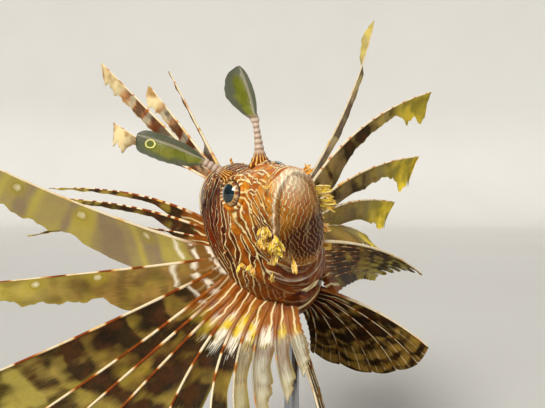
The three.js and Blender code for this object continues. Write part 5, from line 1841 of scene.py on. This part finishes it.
class LionfishColours(bpy.types.PropertyGroup):
    orange: colour_property("Orange", "orange", "Skin between the cream lines")
    brown: colour_property("Brown", "brown", "Darker skin between the cream lines")
    maroon: colour_property("Maroon", "maroon", "Bars of the trunk and the dark patch of the gill cover")
    cream: colour_property("Cream", "cream", "Fine lines of the skin")
    yellow: colour_property("Yellow", "yellow", "Ragged flaps of skin")
    paint: colour_property("Stand paint", "paint", "Base plate of the stand")
    floor: colour_property("Floor", "floor", "Studio floor")


class LionfishSizes(bpy.types.PropertyGroup):
    lens: bpy.props.FloatProperty(
        name="Lens", description="Focal length of the camera", default=33.03, unit="CAMERA",
    )
    camera_height: bpy.props.FloatProperty(
        name="Camera height", description="Height of the camera over the floor", default=0.12874,
        unit="LENGTH",
    )
    floor_size: bpy.props.FloatProperty(
        name="Floor size", description="Width of the studio floor", default=10.0, unit="LENGTH",
    )
    key_strength: bpy.props.FloatProperty(
        name="Key light", description="Strength of the large soft light", default=3.1,
    )


def chosen_colours():
    """All colours by name, with those that the user can change taken from the scene."""
    chosen = types.SimpleNamespace(**COLOURS)
    for name in LionfishColours.__annotations__:
        setattr(chosen, name, tuple(getattr(bpy.context.scene.lionfish_colours, name)))
    return chosen


def finish_piece(piece, material, slot, *nodes):
    """Gives a piece its material, hangs it on the body's root empty, and hides the model's parts that it
    takes the place of.
    """
    piece.data.materials.append(material)
    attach(piece, "root")
    if nodes:
        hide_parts(*nodes)
    return piece


class LIONFISH_OT_skin(bpy.types.Operator):
    """Build the skin of the head, trunk and tail stalk, with the eyelids"""

    bl_idname = "lionfish.skin"
    bl_label = "Skin"

    def execute(self, context):
        material = skin_material(chosen_colours())
        finish_piece(make_skin(), material, "skin", "head", "trunk", "tail_stalk")
        finish_piece(make_lids(), material, "skin")
        return {"FINISHED"}


class LIONFISH_OT_eyes(bpy.types.Operator):
    """Build both eyeballs"""

    bl_idname = "lionfish.eyes"
    bl_label = "Eyes"

    def execute(self, context):
        material = eye_material(chosen_colours())
        for side, label in SIDES.items():
            finish_piece(make_eye(side), material, "eye", f"eye_{label}")
        return {"FINISHED"}


class LIONFISH_OT_ornaments(bpy.types.Operator):
    """Build the brow tentacles, the ragged flaps of skin and the head's thorns"""

    bl_idname = "lionfish.ornaments"
    bl_label = "Tentacles, flaps and thorns"

    def execute(self, context):
        colours = chosen_colours()
        material = tentacle_material(colours)
        for side, label in SIDES.items():
            finish_piece(make_tentacle(side), material, "tentacle", f"tentacle_{label}")
        finish_piece(make_fringes(), fringe_material(colours), "skin")
        finish_piece(make_thorns(), thorn_material(colours), "skin")
        return {"FINISHED"}


class LIONFISH_OT_fins(bpy.types.Operator):
    """Build the rays and webs of all fins"""

    bl_idname = "lionfish.fins"
    bl_label = "Fins"

    def execute(self, context):
        colours = chosen_colours()
        shaft = shaft_material("lionfish_ray", colours, 8.0)
        fine_shaft = shaft_material("lionfish_fine_ray", colours, 4.5)
        webs = {}
        for name, look in WEB_LOOKS.items():
            webs[name] = web_material(f"lionfish_web_{name}", colours, look)
        for number, (name, fin, side, web, slot, node) in enumerate(FINS):
            rays, sheets = make_fin(name, fin, side, FIN_SEED + number)
            finish_piece(rays, fine_shaft if web == "clear" else shaft, slot, node)
            finish_piece(sheets, webs[web], slot, node)
        return {"FINISHED"}


class LIONFISH_OT_stand(bpy.types.Operator):
    """Finish the stand's base plate and rod"""

    bl_idname = "lionfish.stand"
    bl_label = "Stand"

    def execute(self, context):
        colours = chosen_colours()
        for node, material in (("stand_base", base_material(colours)), ("stand_rod", rod_material(colours))):
            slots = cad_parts[node].data.materials
            slots.clear()
            slots.append(material)
        return {"FINISHED"}


def add_light(name, shines_from, strength, softness, tint):
    """Large soft light far away that shines on the model from one direction."""
    light = bpy.data.lights.new(name, "SUN")
    light.energy = strength
    light.angle = math.radians(softness)
    light.color = tint
    lamp = bpy.data.objects.new(name, light)
    bpy.context.scene.collection.objects.link(lamp)
    lamp.location = shines_from
    lamp.rotation_euler = Vector(shines_from).to_track_quat("Z", "Y").to_euler()


def make_floor(width, reach, height, bend):
    """Pale sheet that lies flat under the model and curves up behind it: a quarter of a
    circle between its flat part and its upright part."""
    turn = np.linspace(0, math.pi / 2, 25)
    back = np.concatenate([[-width / 2], reach + bend * np.sin(turn), [reach + bend]])
    level = np.concatenate([[0.0], bend * (1 - np.cos(turn)), [height]])
    corners = [(side * width / 2, y, z) for y, z in zip(back, level) for side in (-1, 1)]
    faces = [(2 * i, 2 * i + 1, 2 * i + 3, 2 * i + 2) for i in range(len(back) - 1)]
    mesh = bpy.data.meshes.new("studio_floor")
    mesh.from_pydata(corners, [], faces)
    mesh.polygons.foreach_set("use_smooth", np.ones(len(faces), bool))
    return mesh


# Lights: where each shines from, share of the key light's strength, softness in degrees, tint
LIGHTS = {
    "key_light": ((-0.45, -0.75, 0.65), 1.0, 22, (1.0, 0.97, 0.91)),
    "fill_light": ((0.80, -0.55, 0.25), 0.16, 50, (1.0, 0.98, 0.95)),
    "back_light": ((0.30, 0.80, 0.70), 0.35, 35, (1.0, 1.0, 1.0)),
}
WORLD_COLOUR = (0.86, 0.85, 0.82, 1.0)
WORLD_STRENGTH = 0.22
# The floor's sheet: where it starts to rise behind the model, its height and its bend
FLOOR_REACH, FLOOR_HEIGHT, FLOOR_BEND = 2.4, 4.0, 0.8
CAMERA_ASIDE, CAMERA_BACK = -0.00462, -0.21942


class LIONFISH_OT_stage(bpy.types.Operator):
    """Build the floor, lights, world and camera"""

    bl_idname = "lionfish.stage"
    bl_label = "Stage"

    def execute(self, context):
        scene = context.scene
        sizes = scene.lionfish_sizes
        mesh = make_floor(sizes.floor_size, FLOOR_REACH, FLOOR_HEIGHT, FLOOR_BEND)
        mesh.materials.append(floor_material(chosen_colours()))
        floor = bpy.data.objects.new("studio_floor", mesh)
        scene.collection.objects.link(floor)
        for name, (shines_from, share, softness, tint) in LIGHTS.items():
            add_light(name, shines_from, sizes.key_strength * share, softness, tint)
        world = bpy.data.worlds.new("soft_world")
        world.use_nodes = True
        background = world.node_tree.nodes["Background"]
        background.inputs["Color"].default_value = WORLD_COLOUR
        background.inputs["Strength"].default_value = WORLD_STRENGTH
        scene.world = world
        scene.view_settings.view_transform = "Standard"
        data = bpy.data.cameras.new("camera")
        data.lens = sizes.lens
        data.sensor_width = 36.0
        data.clip_start = 0.005
        camera = bpy.data.objects.new("camera", data)
        camera.location = (CAMERA_ASIDE, CAMERA_BACK, sizes.camera_height)
        camera.rotation_euler = (math.radians(90), 0, 0)
        scene.collection.objects.link(camera)
        scene.camera = camera
        return {"FINISHED"}


class LIONFISH_PT_panel(bpy.types.Panel):
    """Lists the model's pieces and their colours"""

    bl_label = "Red Lionfish"
    bl_idname = "LIONFISH_PT_panel"
    bl_space_type = "VIEW_3D"
    bl_region_type = "UI"
    bl_category = "Lionfish"

    def draw(self, context):
        for step in OPERATORS:
            self.layout.operator(step.bl_idname)
        for group in (context.scene.lionfish_colours, context.scene.lionfish_sizes):
            for name in type(group).__annotations__:
                self.layout.prop(group, name)


OPERATORS = (
    LIONFISH_OT_skin,
    LIONFISH_OT_eyes,
    LIONFISH_OT_ornaments,
    LIONFISH_OT_fins,
    LIONFISH_OT_stand,
    LIONFISH_OT_stage,
)
CLASSES = (LionfishColours, LionfishSizes, *OPERATORS, LIONFISH_PT_panel)


def register():
    for cls in CLASSES:
        bpy.utils.register_class(cls)
    bpy.types.Scene.lionfish_colours = bpy.props.PointerProperty(type=LionfishColours)
    bpy.types.Scene.lionfish_sizes = bpy.props.PointerProperty(type=LionfishSizes)


def unregister():
    del bpy.types.Scene.lionfish_sizes
    del bpy.types.Scene.lionfish_colours
    for cls in reversed(CLASSES):
        bpy.utils.unregister_class(cls)


def main():
    register()
    bpy.ops.lionfish.skin()
    bpy.ops.lionfish.eyes()
    bpy.ops.lionfish.ornaments()
    bpy.ops.lionfish.fins()
    bpy.ops.lionfish.stand()
    bpy.ops.lionfish.stage()


if __name__ == "__main__":
    main()
